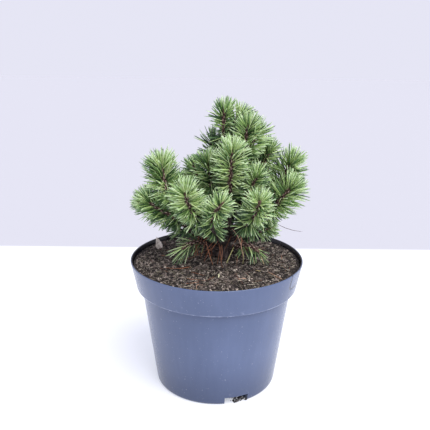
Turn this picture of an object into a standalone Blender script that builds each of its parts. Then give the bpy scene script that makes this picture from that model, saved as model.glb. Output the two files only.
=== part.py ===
"""Potted minikin mugo pine, at its real size in metres, +Z up.

A five-litre nursery pot full of peat mix carries a dwarf mountain pine about 21 cm tall. One short trunk
runs up through the crown. Boughs leave it in whorls, as a pine adds one whorl a year, and every bough or
limb ends in a tuft: the outer, needled part of its own stem, which looks like a bottle brush.

The origin is the centre of the pot's underside. The viewer stands at -Y, and +X is on the right.
"""

import math
import random
from collections import namedtuple

import bmesh
import bpy
import numpy as np
from mathutils import Matrix, Vector

GAP = 0.0003  # clear space between two pieces that touch

# Pot: a thin moulded wall with a collar that leans out to the rim
POT_HEIGHT = 0.175
RIM_RADIUS = 0.115
COLLAR_HEIGHT = 0.037
COLLAR_FOOT_RADIUS = 0.1075
COLLAR_STEP = 0.0070
INNER_STEP_TOP = 0.0045  # the inside steps in a little higher than the outside, which keeps the wall whole
INNER_STEP_FOOT = 0.0025
BASE_RADIUS = 0.0825
BASE_ROUNDING = 0.004
RIM_ROUNDING = 0.0007
WALL = 0.002
FLOOR = 0.0045
FLOOR_ROUNDING = 0.002
MIDDLE_RADIUS = 0.036  # the underside stands on this flat middle
FOOT_RING_INNER = 0.062  # and on the flat ring outside this radius
SUNK_RING = 0.002  # how far the underside is raised between the two
TURNED_SIDES = 40  # of the pot and of the soil, whose flats then lie face to face

# Drain recesses in the pot's bottom edge
RECESSES = 3
FIRST_RECESS = 19.5  # degrees to the right of the front
RECESS_WIDTH = 0.032
RECESS_HEIGHT = 0.0105
RECESS_DEPTH = 0.015
ROOM = 0.001  # what a housing is higher and deeper than its two walls need
REACH_OUT = 0.015  # how far cutters reach past the pot
DRAIN_RADIUS = 0.0026
DRAIN_SPACING = 0.017

# Soil
SOIL_EDGE = 0.1690
SOIL_TOP = 0.1760
SOIL_CROWN_RADIUS = 0.026  # the level patch round the trunk
SOIL_SLOPE = ((0.052, 0.0022), (0.082, 0.0048))  # radius, and how far the mound has dropped there
SOIL_EDGE_ROUNDING = 0.004

# Trunk
FOOT = Vector((0.008, 0.005, SOIL_TOP + GAP))
FOOT_RADIUS = 0.0092
FLARE = 0.0048
FLARE_HEIGHT = 0.007
TRUNK_LEAN = 9.0  # degrees, to the right, at the foot
TRUNK_TAPER = 0.65  # under 1, so it thins soonest among the lowest boughs

# Stems and needles
STEM_RADIUS = 0.0027  # where the needles begin
BUD_RADIUS = 0.0022
BUD_LENGTH = 0.003
BUD_POINT = 0.35  # of the bud's radius, at its end
FIRST_SPRAY = 0.002  # from where the limb ends
JOINT_LENGTH = 0.0012  # a limb's last bit and its tuft's first run straight on, so their ends are parallel
LIMB_GROWTH = 0.016  # a limb is this much thicker at its foot for each metre of its length
THICKEST_SHARE = 0.68  # of its parent's radius
NEEDLE_LENGTH = 0.0300
OPEN_AT_FOOT = 78.0  # degrees between needle and stem
OPEN_AT_BUD = 32.0
SPREAD_AT_FOOT = 7.0  # and how far that differs from spray to spray
SPREAD_AT_BUD = 25.0
SPRAY_STEP = 0.00138  # stem length to a spray
SPRAY_ROOT = 0.0014  # half a spray's width where it is sunk in the stem
SPRAY_HALF_WIDTH = 0.0029
SPRAY_HALF_THICKNESS = 0.0012
SPRAY_WAIST = 0.36  # where along its length a spray is widest
CLEAR = 0.0011  # from the middle of a spray to what it may not touch
GOLDEN_TURN = 137.5
SEED = 7

# Every branch, by the place of its bud: bearing round the trunk's foot (0 is the front, 90 the right),
# reach from it and height over the soil in millimetres, the stem's lean there, the length that bears
# needles, the branch that carries it and how far along that one, and the bearing of a side twig.
Branch = namedtuple("Branch", "parent at bearing reach height lean needled side")
BRANCHES = {
    "top": Branch(None, 0.0, 349, 5, 191, 10, 30, 95),
    # First whorl: the eight boughs that make the crown's skirt
    "left": Branch("top", 0.10, 279, 99, 77, 58, 58, None),
    "front_left": Branch("top", 0.19, 330, 92, 106, 33, 46, None),
    "front": Branch("top", 0.10, 358, 90, 95, 42, 36, None),
    "front_right": Branch("top", 0.20, 26, 94, 96, 38, 40, None),
    "right": Branch("top", 0.12, 70, 89, 100, 36, 54, None),
    "back_right": Branch("top", 0.20, 126, 90, 74, 45, 52, None),
    "back": Branch("top", 0.12, 164, 84, 70, 45, 50, None),
    "back_left": Branch("top", 0.21, 232, 86, 84, 40, 52, None),
    # Second whorl
    "middle": Branch("top", 0.33, 10, 51, 149, 17, 58, None),
    "middle_right": Branch("top", 0.37, 40, 61, 119, 30, 40, None),
    "middle_left": Branch("top", 0.36, 314, 29, 130, 16, 46, None),
    "left_back": Branch("top", 0.32, 268, 38, 121, 18, 44, None),
    "right_back": Branch("top", 0.38, 99, 60, 141, 28, 44, None),
    "middle_back": Branch("top", 0.33, 184, 72, 106, 30, 46, None),
    # Third whorl
    "upper_right": Branch("top", 0.60, 57, 35, 175, 12, 42, 100),
    "upper_left": Branch("top", 0.56, 225, 22, 150, 28, 38, None),
    "upper_back": Branch("top", 0.58, 164, 40, 148, 24, 40, None),
    # Limbs on the boughs
    "left_high": Branch("left", 0.45, 277, 81, 122, 24, 52, None),
    "right_high": Branch("right", 0.62, 90, 86, 124, 24, 48, None),
    "right_low": Branch("right", 0.28, 82, 61, 40, 74, 28, None),
    "back_right_high": Branch("back_right", 0.50, 138, 72, 112, 26, 44, None),
    "back_low": Branch("back", 0.45, 200, 84, 66, 48, 46, None),
    "back_left_high": Branch("back_left", 0.50, 226, 62, 92, 24, 42, None),
    # Short limbs from the foot, whose needles hang over the soil
    "low_left": Branch("top", 0.045, 304, 60, 22, 118, 34, None),
    "low_right": Branch("top", 0.050, 50, 56, 20, 116, 34, None),
    "low_back": Branch("top", 0.050, 258, 62, 30, 84, 34, None),
}
LEANS_TO = {"front": 52, "front_left": 350, "front_right": 6, "right_high": 25}  # not the way they reach


def on_bearing(bearing):
    """The level unit vector at this many degrees from the front, round to the right."""
    turn = math.radians(bearing)
    return Vector((math.sin(turn), -math.cos(turn), 0))


def leaning(bearing, lean):
    """The unit vector that leans this many degrees from straight up towards the bearing."""
    tilt = math.radians(lean)
    return on_bearing(bearing) * math.sin(tilt) + Vector((0, 0, math.cos(tilt)))


def blend(a, b, share):
    return a + (b - a) * share


class Path:
    """A smooth curve between two places and two headings, measured by length along it."""

    SAMPLES = 48

    def __init__(self, start, start_way, end, end_way, lead=0.42):
        reach = (end - start).length * lead
        knots = (start, start + start_way * reach, end - end_way * reach, end)
        weights = (1, 3, 3, 1)
        self.points = []
        for i in range(self.SAMPLES + 1):
            t = i / self.SAMPLES
            shares = [w * (1 - t) ** (3 - k) * t**k for k, w in enumerate(weights)]
            self.points.append(sum((p * s for p, s in zip(knots, shares)), Vector((0, 0, 0))))
        self.marks = [0.0]
        for a, b in zip(self.points, self.points[1:]):
            self.marks.append(self.marks[-1] + (b - a).length)
        self.length = self.marks[-1]

    def at(self, distance):
        distance = min(max(distance, 0.0), self.length)
        last = len(self.marks) - 2
        i = next((k for k in range(last) if self.marks[k + 1] >= distance), last)
        share = (distance - self.marks[i]) / (self.marks[i + 1] - self.marks[i])
        return blend(self.points[i], self.points[i + 1], share)

    def heading(self, distance):
        step = 0.001
        return (self.at(distance + step) - self.at(distance - step)).normalized()

    def between(self, start, end, count):
        """This many points, evenly spaced from one distance to the other."""
        return [self.at(blend(start, end, i / (count - 1))) for i in range(count)]


class Stem:
    """One branch: its path, its bare length and its radius along the way."""

    def __init__(self, key, row, parent):
        self.key = key
        self.row = row
        self.tip = FOOT + on_bearing(row.bearing) * row.reach / 1000 + Vector((0, 0, row.height / 1000))
        end_way = leaning(LEANS_TO.get(key, row.bearing), row.lean)
        if parent is None:
            self.path = Path(FOOT, leaning(90, TRUNK_LEAN), self.tip, end_way)
            self.foot_radius = FOOT_RADIUS
        else:
            spring = parent.path.at(row.at * parent.bare)
            level = self.tip - spring
            level.z = 0
            rise = (self.tip.z - spring.z) / max(level.length, 0.001)
            out = level.normalized() + Vector((0, 0, min(max(0.55 * rise, -0.05), 0.75)))
            self.path = Path(spring, out.normalized(), self.tip, end_way)
            wanted = STEM_RADIUS + LIMB_GROWTH * self.path.length
            self.foot_radius = min(wanted, THICKEST_SHARE * parent.radius(row.at * parent.bare))
        self.bare = self.path.length - row.needled / 1000

    def radius(self, distance):
        """From the foot's radius to the needled stem's, with the root flare on the trunk."""
        share = min(distance / self.bare, 1)
        if self.row.parent is None:
            share **= TRUNK_TAPER
        radius = blend(self.foot_radius, STEM_RADIUS, share)
        if self.row.parent is None:
            radius += FLARE * math.exp(-distance / FLARE_HEIGHT)
        return radius


def grow_stems():
    stems = {}
    for key, row in BRANCHES.items():
        stems[key] = Stem(key, row, stems.get(row.parent))
    return stems


def side_twig(stem):
    """The path of a tuft's second head, which leaves the stem low and turns up beside it."""
    start = stem.path.at(stem.bare + 0.30 * stem.row.needled / 1000)
    out = leaning(stem.row.side, 55)
    end = start + leaning(stem.row.side, 34) * 0.62 * stem.row.needled / 1000
    return Path(start, out, end, leaning(stem.row.side, 18))


def node_name(stem):
    if stem.row.parent is None:
        return "trunk"
    return ("bough_" if stem.row.parent == "top" else "limb_") + stem.key


def new_collection(name, parent):
    made = bpy.data.collections.new(name)
    parent.children.link(made)
    return made


def material(name, color, roughness):
    """A Principled material of one colour."""
    made = bpy.data.materials.new(name)
    made.use_nodes = True
    shader = made.node_tree.nodes["Principled BSDF"]
    shader.inputs["Base Color"].default_value = (*color, 1)
    shader.inputs["Roughness"].default_value = roughness
    shader.inputs["Metallic"].default_value = 0
    return made


def add_object(name, mesh, collection, finish=None):
    made = bpy.data.objects.new(name, mesh)
    collection.objects.link(made)
    if finish:
        mesh.materials.append(finish)
    return made


def remove_object(obj):
    data = obj.data
    bpy.data.objects.remove(obj)
    if not data.users:
        (bpy.data.curves if isinstance(data, bpy.types.Curve) else bpy.data.meshes).remove(data)


def evaluated_mesh(obj):
    """A new mesh of the object with its modifiers or its bevel applied."""
    graph = bpy.context.evaluated_depsgraph_get()
    return bpy.data.meshes.new_from_object(obj.evaluated_get(graph))


def tube_mesh(points, radii, sides):
    """A tapering round tube with closed ends through the points."""
    curve = bpy.data.curves.new("tube", "CURVE")
    curve.dimensions = "3D"
    curve.bevel_depth = 1.0
    curve.bevel_resolution = (sides - 4) // 2
    curve.use_fill_caps = True
    spline = curve.splines.new("POLY")
    spline.points.add(len(points) - 1)
    for spot, point, radius in zip(spline.points, points, radii):
        spot.co = (*point, 1)
        spot.radius = radius
    holder = add_object("tube", curve, bpy.context.scene.collection)
    mesh = evaluated_mesh(holder)
    remove_object(holder)
    bm = bmesh.new()
    bm.from_mesh(mesh)
    bmesh.ops.remove_doubles(bm, verts=bm.verts, dist=1e-6)
    bmesh.ops.recalc_face_normals(bm, faces=bm.faces)
    bm.to_mesh(mesh)
    bm.free()
    return mesh


def keep_largest_body(mesh):
    """Drops the loose scraps that a Boolean leaves."""
    bm = bmesh.new()
    bm.from_mesh(mesh)
    left = set(bm.verts)
    bodies = []
    while left:
        body = {left.pop()}
        newest = body
        while newest:
            newest = {e.other_vert(v) for v in newest for e in v.link_edges} - body
            body = body | newest
        left -= body
        bodies.append(body)
    bodies.sort(key=len)
    scraps = [v for body in bodies[:-1] for v in body]
    bmesh.ops.delete(bm, geom=scraps, context="VERTS")
    bm.to_mesh(mesh)
    bm.free()


def apply_boolean(obj, operation, helpers):
    """Joins the helper collection to the object, or cuts it away, and removes the helpers."""
    modifier = obj.modifiers.new(operation.lower(), "BOOLEAN")
    modifier.operation = operation
    modifier.operand_type = "COLLECTION"
    modifier.collection = helpers
    modifier.solver = "EXACT"
    mesh = evaluated_mesh(obj)
    keep_largest_body(mesh)
    obj.modifiers.clear()
    plain = obj.data
    obj.data = mesh
    bpy.data.meshes.remove(plain)
    for helper in list(helpers.objects):
        remove_object(helper)


def shade_round(mesh):
    """Smooth shading, but for the sharp edges where a limb is cut."""
    mesh.shade_smooth()
    mesh.set_sharp_from_angle(angle=math.radians(40))


def turned(name, profile, sides, collection, finish=None):
    """A solid of revolution: (radius, height) pairs that run down the outer side, spun by a Screw."""
    mesh = bpy.data.meshes.new(name)
    edges = [(i, i + 1) for i in range(len(profile) - 1)]
    mesh.from_pydata([(radius, 0, height) for radius, height in profile], edges, [])
    obj = add_object(name, mesh, collection, finish)
    screw = obj.modifiers.new("turn", "SCREW")
    screw.steps = sides
    screw.render_steps = sides
    screw.use_merge_vertices = True
    screw.merge_threshold = 0.00001
    screw.use_smooth_shade = True
    return obj


def box(name, size, centre, bearing, collection):
    """A box that faces outwards on a bearing: size and centre are (across, outwards, up)."""
    mesh = bpy.data.meshes.new(name)
    bm = bmesh.new()
    bmesh.ops.create_cube(bm, size=1)
    bmesh.ops.scale(bm, vec=size, verts=bm.verts)
    bm.to_mesh(mesh)
    bm.free()
    obj = add_object(name, mesh, collection)
    across, outwards, up = centre
    obj.location = on_bearing(bearing) * outwards + on_bearing(bearing + 90) * across + Vector((0, 0, up))
    obj.rotation_euler.z = math.radians(bearing)
    return obj


def drain_hole(name, across, bearing, collection):
    """A level round cutter through the back wall of a recess."""
    mesh = bpy.data.meshes.new(name)
    bm = bmesh.new()
    bmesh.ops.create_cone(
        bm,
        cap_ends=True,
        segments=12,
        radius1=DRAIN_RADIUS,
        radius2=DRAIN_RADIUS,
        depth=4 * WALL,
        matrix=Matrix.Rotation(math.pi / 2, 4, "X"),
    )
    bm.to_mesh(mesh)
    bm.free()
    obj = add_object(name, mesh, collection)
    back = BASE_RADIUS - RECESS_DEPTH - WALL / 2
    height = (FLOOR + RECESS_HEIGHT) / 2
    obj.location = on_bearing(bearing) * back + on_bearing(bearing + 90) * across + Vector((0, 0, height))
    obj.rotation_euler.z = math.radians(bearing)
    return obj


def cut(obj, name, cutter):
    modifier = obj.modifiers.new(name, "BOOLEAN")
    modifier.operation = "DIFFERENCE"
    modifier.object = cutter
    modifier.solver = "EXACT"
    cutter.hide_render = True
    cutter.display_type = "WIRE"


def build_pot(parts, cutters):
    """The outer form is turned whole. The inside is a second turned form that is cut out of it, less
    the housings that close the drain recesses off from the soil."""
    step_height = POT_HEIGHT - COLLAR_HEIGHT
    body_radius = COLLAR_FOOT_RADIUS - COLLAR_STEP
    outside = (
        (0, POT_HEIGHT),
        (RIM_RADIUS - RIM_ROUNDING, POT_HEIGHT),
        (RIM_RADIUS, POT_HEIGHT - RIM_ROUNDING),
        (COLLAR_FOOT_RADIUS, step_height + RIM_ROUNDING),
        (COLLAR_FOOT_RADIUS - RIM_ROUNDING, step_height),
        (body_radius, step_height - RIM_ROUNDING / 2),
        (BASE_RADIUS + 0.15 * BASE_ROUNDING, BASE_ROUNDING),
        (BASE_RADIUS - 0.25 * BASE_ROUNDING, 0.25 * BASE_ROUNDING),
        (BASE_RADIUS - BASE_ROUNDING, 0),
        (FOOT_RING_INNER, 0),
        (FOOT_RING_INNER - SUNK_RING, SUNK_RING),
        (MIDDLE_RADIUS + SUNK_RING, SUNK_RING),
        (MIDDLE_RADIUS, 0),
        (0, 0),
    )
    pot = turned("pot", outside, TURNED_SIDES, parts, material("pot plastic", (0.075, 0.095, 0.150), 0.42))

    inside = (
        (0, POT_HEIGHT + REACH_OUT),
        (RIM_RADIUS - WALL, POT_HEIGHT + REACH_OUT),
        (RIM_RADIUS - WALL, POT_HEIGHT - RIM_ROUNDING),
        (COLLAR_FOOT_RADIUS - WALL, step_height + INNER_STEP_TOP),
        (body_radius - WALL, step_height + INNER_STEP_FOOT),
        (BASE_RADIUS - WALL, FLOOR + FLOOR_ROUNDING),
        (BASE_RADIUS - WALL - FLOOR_ROUNDING, FLOOR),
        (0, FLOOR),
    )
    hollow = turned("pot hollow", inside, TURNED_SIDES, cutters)
    for i in range(RECESSES):
        bearing = FIRST_RECESS + i * 360 / RECESSES
        outer = BASE_RADIUS + REACH_OUT
        inner = BASE_RADIUS - RECESS_DEPTH
        housing = box(
            f"recess housing {i + 1}",
            (RECESS_WIDTH + 2 * WALL, outer - inner + WALL, RECESS_HEIGHT + WALL + ROOM),
            (0, (outer + inner - WALL) / 2, (RECESS_HEIGHT + WALL - ROOM) / 2),
            bearing,
            cutters,
        )
        cut(hollow, f"housing {i + 1}", housing)
        recess = box(
            f"recess {i + 1}",
            (RECESS_WIDTH, outer - inner, RECESS_HEIGHT + REACH_OUT),
            (0, (outer + inner) / 2, (RECESS_HEIGHT - REACH_OUT) / 2),
            bearing,
            cutters,
        )
        cut(pot, f"recess {i + 1}", recess)
    cut(pot, "hollow", hollow)
    for i in range(RECESSES):
        bearing = FIRST_RECESS + i * 360 / RECESSES
        for side in (-0.5, 0.5):
            hole = drain_hole(f"drain {i + 1} {side}", side * DRAIN_SPACING, bearing, cutters)
            cut(pot, f"drain {i + 1} {side}", hole)


def build_soil(parts):
    """Peat mix: it fills the pot to just under the rim, and rises a little towards the trunk."""
    step_height = POT_HEIGHT - COLLAR_HEIGHT
    body_radius = COLLAR_FOOT_RADIUS - COLLAR_STEP - WALL - GAP

    def wall_radius(height):
        """The inside of the pot's body, less the gap."""
        foot = FLOOR + FLOOR_ROUNDING
        share = (height - foot) / (step_height + INNER_STEP_FOOT - foot)
        return blend(BASE_RADIUS - WALL - GAP, body_radius, share)

    rim_share = (SOIL_EDGE - step_height) / COLLAR_HEIGHT
    edge_radius = blend(COLLAR_FOOT_RADIUS, RIM_RADIUS, rim_share) - WALL - 2 * GAP
    ledge = RECESS_HEIGHT + WALL + ROOM
    core_radius = BASE_RADIUS - RECESS_DEPTH - WALL - ROOM
    profile = (
        (0, SOIL_TOP),
        (SOIL_CROWN_RADIUS, SOIL_TOP),
        *((radius, SOIL_TOP - drop) for radius, drop in SOIL_SLOPE),
        (edge_radius - SOIL_EDGE_ROUNDING, SOIL_EDGE),
        (edge_radius, SOIL_EDGE - SOIL_EDGE_ROUNDING / 4),
        (COLLAR_FOOT_RADIUS - WALL - 2 * GAP, step_height + INNER_STEP_TOP + GAP),
        (body_radius - GAP, step_height + INNER_STEP_FOOT + GAP),
        (wall_radius(ledge), ledge),
        (core_radius, ledge),
        (core_radius, FLOOR + GAP),
        (0, FLOOR + GAP),
    )
    turned("soil", profile, TURNED_SIDES, parts, material("peat mix", (0.055, 0.038, 0.030), 0.95))


def polyline_gap(points, others):
    """The shortest distance between two lists of close points."""
    a = np.array(points)
    b = np.array(others)
    return float(np.sqrt(((a[:, None] - b[None]) ** 2).sum(axis=2)).min())


def bare_points(stem):
    """Close points on a stem's bare part, and the radius at each."""
    spacing = 0.0025
    count = max(int(stem.bare / spacing), 6)
    distances = [stem.bare * i / (count - 1) for i in range(count)]
    return [stem.path.at(d) for d in distances], [stem.radius(d) for d in distances]


def limb_mesh(stem, extra):
    """A stem's bare part as a tapering tube, thicker by the extra on every side."""
    trunk = stem.row.parent is None
    count = 12 if trunk else max(4, min(7, round(stem.bare / 0.012) + 1))
    end = stem.bare - GAP / 2 + extra
    distances = [end * i / (count - 1) for i in range(count)]
    distances.insert(-1, end - JOINT_LENGTH)
    points = [stem.path.at(d) for d in distances]
    if trunk:
        # The foot rises straight from the soil, so its cut is level.
        for i in (1, 2):
            distances.insert(i, i * FLARE_HEIGHT * 0.6)
            points.insert(i, blend(FOOT + Vector((0, 0, distances[i])), stem.path.at(distances[i]), i - 1))
    radii = [stem.radius(d) + extra for d in distances]
    return tube_mesh(points, radii, 10 if trunk else 6)


def build_limbs(stems, parts, helpers, bark):
    """The trunk, and each bough and limb cut clear of what it springs from and of any that it passes."""
    done = []
    for key, stem in stems.items():
        limb = add_object(node_name(stem), limb_mesh(stem, 0), parts, bark)
        own, own_radii = bare_points(stem)
        for other in done:
            near, radii = bare_points(other)
            if polyline_gap(own, near) < max(own_radii) + max(radii) + GAP:
                add_object(f"{key} clear of {other.key}", limb_mesh(other, GAP), helpers)
        if helpers.objects:
            apply_boolean(limb, "DIFFERENCE", helpers)
        shade_round(limb.data)
        done.append(stem)


def spray_mesh():
    """A spray of needles as one flat pointed blade a unit long: narrow at its root, which lies at the
    origin, a unit wide to each side at its waist, and three-sided across."""
    mesh = bpy.data.meshes.new("spray")
    bm = bmesh.new()
    bmesh.ops.create_cone(
        bm,
        cap_ends=True,
        segments=3,
        radius1=SPRAY_ROOT / SPRAY_HALF_WIDTH,
        radius2=0,
        depth=1,
        matrix=Matrix.Translation((0, 0, 0.5)),
    )
    bmesh.ops.remove_doubles(bm, verts=bm.verts, dist=1e-4)
    waist = bmesh.ops.bisect_plane(
        bm,
        geom=bm.verts[:] + bm.edges[:] + bm.faces[:],
        plane_co=(0, 0, SPRAY_WAIST),
        plane_no=(0, 0, 1),
    )
    for vert in (item for item in waist["geom_cut"] if isinstance(item, bmesh.types.BMVert)):
        out = Vector((vert.co.x, vert.co.y, 0)).normalized()
        vert.co = out + Vector((0, 0, SPRAY_WAIST))
    bmesh.ops.recalc_face_normals(bm, faces=bm.faces)
    bm.to_mesh(mesh)
    bm.free()
    return mesh


def spray_rule(path, start, end, chance):
    """Root, way, width's direction and length of each spray on a stem: a spiral by the golden turn,
    open at the stem's foot and closing towards the bud."""
    count = round((end - start) / SPRAY_STEP)
    for i in range(count):
        share = (i + 0.5) / count
        along = path.heading(blend(start, end, share))
        side = along.orthogonal().normalized()
        side.rotate(Matrix.Rotation(math.radians(i * GOLDEN_TURN + chance.uniform(-12, 12)), 3, along))
        opening = blend(OPEN_AT_FOOT, OPEN_AT_BUD, share**2)
        opening = math.radians(opening + blend(SPREAD_AT_FOOT, SPREAD_AT_BUD, share**2) * chance.uniform(-1, 1))
        way = along * math.cos(opening) + side * math.sin(opening)
        length = NEEDLE_LENGTH * (0.88 + 0.12 * math.sin(math.pi * share)) * chance.uniform(0.94, 1.04)
        yield path.at(blend(start, end, 0.05 + 0.93 * share)), way, along.cross(side), length


class Space:
    """Which tuft each place belongs to: the one whose stem is nearest, outside every limb and the soil."""

    def __init__(self, stems):
        self.tufts = {}
        limbs = []
        for key, stem in stems.items():
            needled = stem.path.between(stem.bare, stem.path.length, 24)
            if stem.row.side is not None:
                needled += side_twig(stem).points[::4]
            self.tufts[key] = np.array(needled)
            limbs += list(zip(*bare_points(stem)))
        self.limb_points = np.array([point for point, radius in limbs])
        self.limb_radii = np.array([radius for point, radius in limbs])

    def allows(self, key, place):
        spot = np.array(place)
        if spot[2] < SOIL_TOP + CLEAR:
            return False
        if (np.sqrt(((self.limb_points - spot) ** 2).sum(axis=1)) - self.limb_radii).min() < CLEAR:
            return False
        reaches = {k: np.sqrt(((p - spot) ** 2).sum(axis=1)).min() for k, p in self.tufts.items()}
        own = reaches.pop(key)
        return own + 2 * CLEAR < min(reaches.values())


def build_tuft(stem, space, parts, helpers, spray, green):
    """The needled end of a stem: a slim core with sprays fused on, all within the tuft's own space."""
    chance = random.Random(f"{SEED} {stem.key}")
    start = stem.bare + GAP / 2
    length = stem.path.length - start
    points = stem.path.between(start, stem.path.length, 5)
    radii = [blend(STEM_RADIUS, BUD_RADIUS, i / 4) for i in range(5)]
    points.insert(1, stem.path.at(start + JOINT_LENGTH))
    radii.insert(1, STEM_RADIUS)
    points.append(points[-1] + stem.path.heading(stem.path.length) * BUD_LENGTH)
    radii.append(BUD_RADIUS * BUD_POINT)
    tuft = add_object(f"tuft_{stem.key}", tube_mesh(points, radii, 6), parts, green)
    runs = [(stem.path, start + FIRST_SPRAY, start + length)]
    if stem.row.side is not None:
        twig = side_twig(stem)
        points = twig.between(0, twig.length, 3)
        points.append(points[-1] + twig.heading(twig.length) * BUD_LENGTH)
        radii = [BUD_RADIUS] * 3 + [BUD_RADIUS * BUD_POINT]
        add_object("side twig", tube_mesh(points, radii, 6), helpers)
        runs.append((twig, twig.length * 0.3, twig.length))
    for path, first, last in runs:
        for root, way, across, length in spray_rule(path, first, last, chance):
            tested = [root + way * length * share for share in (0.2, 0.7, 1.0)]
            waist = root + way * length * SPRAY_WAIST
            tested += [waist + across * SPRAY_HALF_WIDTH * side for side in (-1, 0, 1)]
            if all(space.allows(stem.key, spot) for spot in tested):
                turn = Matrix((across, way.cross(across), way)).transposed().to_4x4()
                size = Matrix.Diagonal((SPRAY_HALF_WIDTH, SPRAY_HALF_THICKNESS, length, 1))
                one = add_object("spray", spray, helpers)
                one.matrix_world = Matrix.Translation(root) @ turn @ size
    apply_boolean(tuft, "UNION", helpers)


def main():
    for obj in list(bpy.data.objects):
        bpy.data.objects.remove(obj)
    scene = bpy.context.scene.collection
    parts = new_collection("potted minikin mugo pine", scene)
    cutters = new_collection("cutters", scene)
    helpers = new_collection("helpers", scene)

    build_pot(parts, cutters)
    build_soil(parts)

    stems = grow_stems()
    bark = material("bark", (0.085, 0.060, 0.050), 0.85)
    build_limbs(stems, parts, helpers, bark)

    green = material("needles", (0.120, 0.190, 0.070), 0.5)
    space = Space(stems)
    spray = spray_mesh()
    spray.use_fake_user = True
    for stem in stems.values():
        build_tuft(stem, space, parts, helpers, spray, green)
    bpy.data.meshes.remove(spray)
    bpy.data.collections.remove(helpers)


main()
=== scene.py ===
"""Looks of the potted minikin mugo pine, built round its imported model, in metres, +Z up.

The order is that of the plant's own making: pot, soil, washed-out peat, trunk and limbs, shoots and
buds, needles, litter, then floor, light and camera. The viewer stands at -Y, with +X on the right.
"""

import math

import bpy
import numpy as np
from mathutils import Matrix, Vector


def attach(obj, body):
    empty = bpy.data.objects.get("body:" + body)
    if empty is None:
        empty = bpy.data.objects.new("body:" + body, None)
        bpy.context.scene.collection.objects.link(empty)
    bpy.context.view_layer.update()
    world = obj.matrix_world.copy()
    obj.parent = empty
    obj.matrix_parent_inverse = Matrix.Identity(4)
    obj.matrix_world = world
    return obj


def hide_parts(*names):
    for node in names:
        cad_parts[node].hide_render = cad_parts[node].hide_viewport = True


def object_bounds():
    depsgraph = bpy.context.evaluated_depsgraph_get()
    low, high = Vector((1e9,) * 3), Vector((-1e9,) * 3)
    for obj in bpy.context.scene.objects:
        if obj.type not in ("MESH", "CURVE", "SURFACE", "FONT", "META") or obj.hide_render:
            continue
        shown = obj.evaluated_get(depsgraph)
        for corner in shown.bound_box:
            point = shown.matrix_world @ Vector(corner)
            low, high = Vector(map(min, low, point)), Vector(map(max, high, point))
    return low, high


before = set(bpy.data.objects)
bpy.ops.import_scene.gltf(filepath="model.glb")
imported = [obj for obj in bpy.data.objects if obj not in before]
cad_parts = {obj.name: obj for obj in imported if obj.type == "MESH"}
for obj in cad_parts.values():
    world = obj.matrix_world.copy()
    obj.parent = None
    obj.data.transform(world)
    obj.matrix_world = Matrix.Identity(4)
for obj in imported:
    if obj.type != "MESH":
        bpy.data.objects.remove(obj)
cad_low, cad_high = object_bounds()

# Pot: a five-litre nursery container, injection moulded in dark blue-grey polypropylene. Its thin wall
# steps out to a collar that leans to the rim. Three drain recesses are let into the bottom edge, and
# the outline of a label tongue is pressed into the collar.
POT_HEIGHT = 0.175
RIM_RADIUS = 0.115
COLLAR_STEP_HEIGHT = 0.138
COLLAR_FOOT_RADIUS = 0.1075
BODY_RADIUS = 0.1005
BASE_RADIUS = 0.0825
WALL = 0.002
FLOOR = 0.0045
RECESS_BEARINGS = (19.5, 139.5, 259.5)
RECESS_WIDTH = 0.032
RECESS_HEIGHT = 0.0105
RECESS_DEPTH = 0.015
RING_RADIUS = 0.060
RING_DEPTH = 0.002
MARK_BEARING = math.radians(61.5)
MARK_HALF_WIDTH = 0.0115
MARK_CORNER = 0.005
MARK_FOOT = 0.1545

# The middle of the collar's wall: how far it leans out by height, and its radius carried down to 0.
WALL_LEAN = 0.2027
WALL_MIDDLE = 0.0786


class Level:
    """A number that changes over a surface. Python's own operators add the Math nodes."""

    def __init__(self, finish, socket):
        self.finish = finish
        self.socket = socket

    def __add__(self, other):
        return self.finish.maths("ADD", self, other)

    __radd__ = __add__

    def __sub__(self, other):
        return self.finish.maths("SUBTRACT", self, other)

    def __rsub__(self, other):
        return self.finish.maths("SUBTRACT", other, self)

    def __mul__(self, other):
        return self.finish.maths("MULTIPLY", self, other)

    __rmul__ = __mul__


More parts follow.
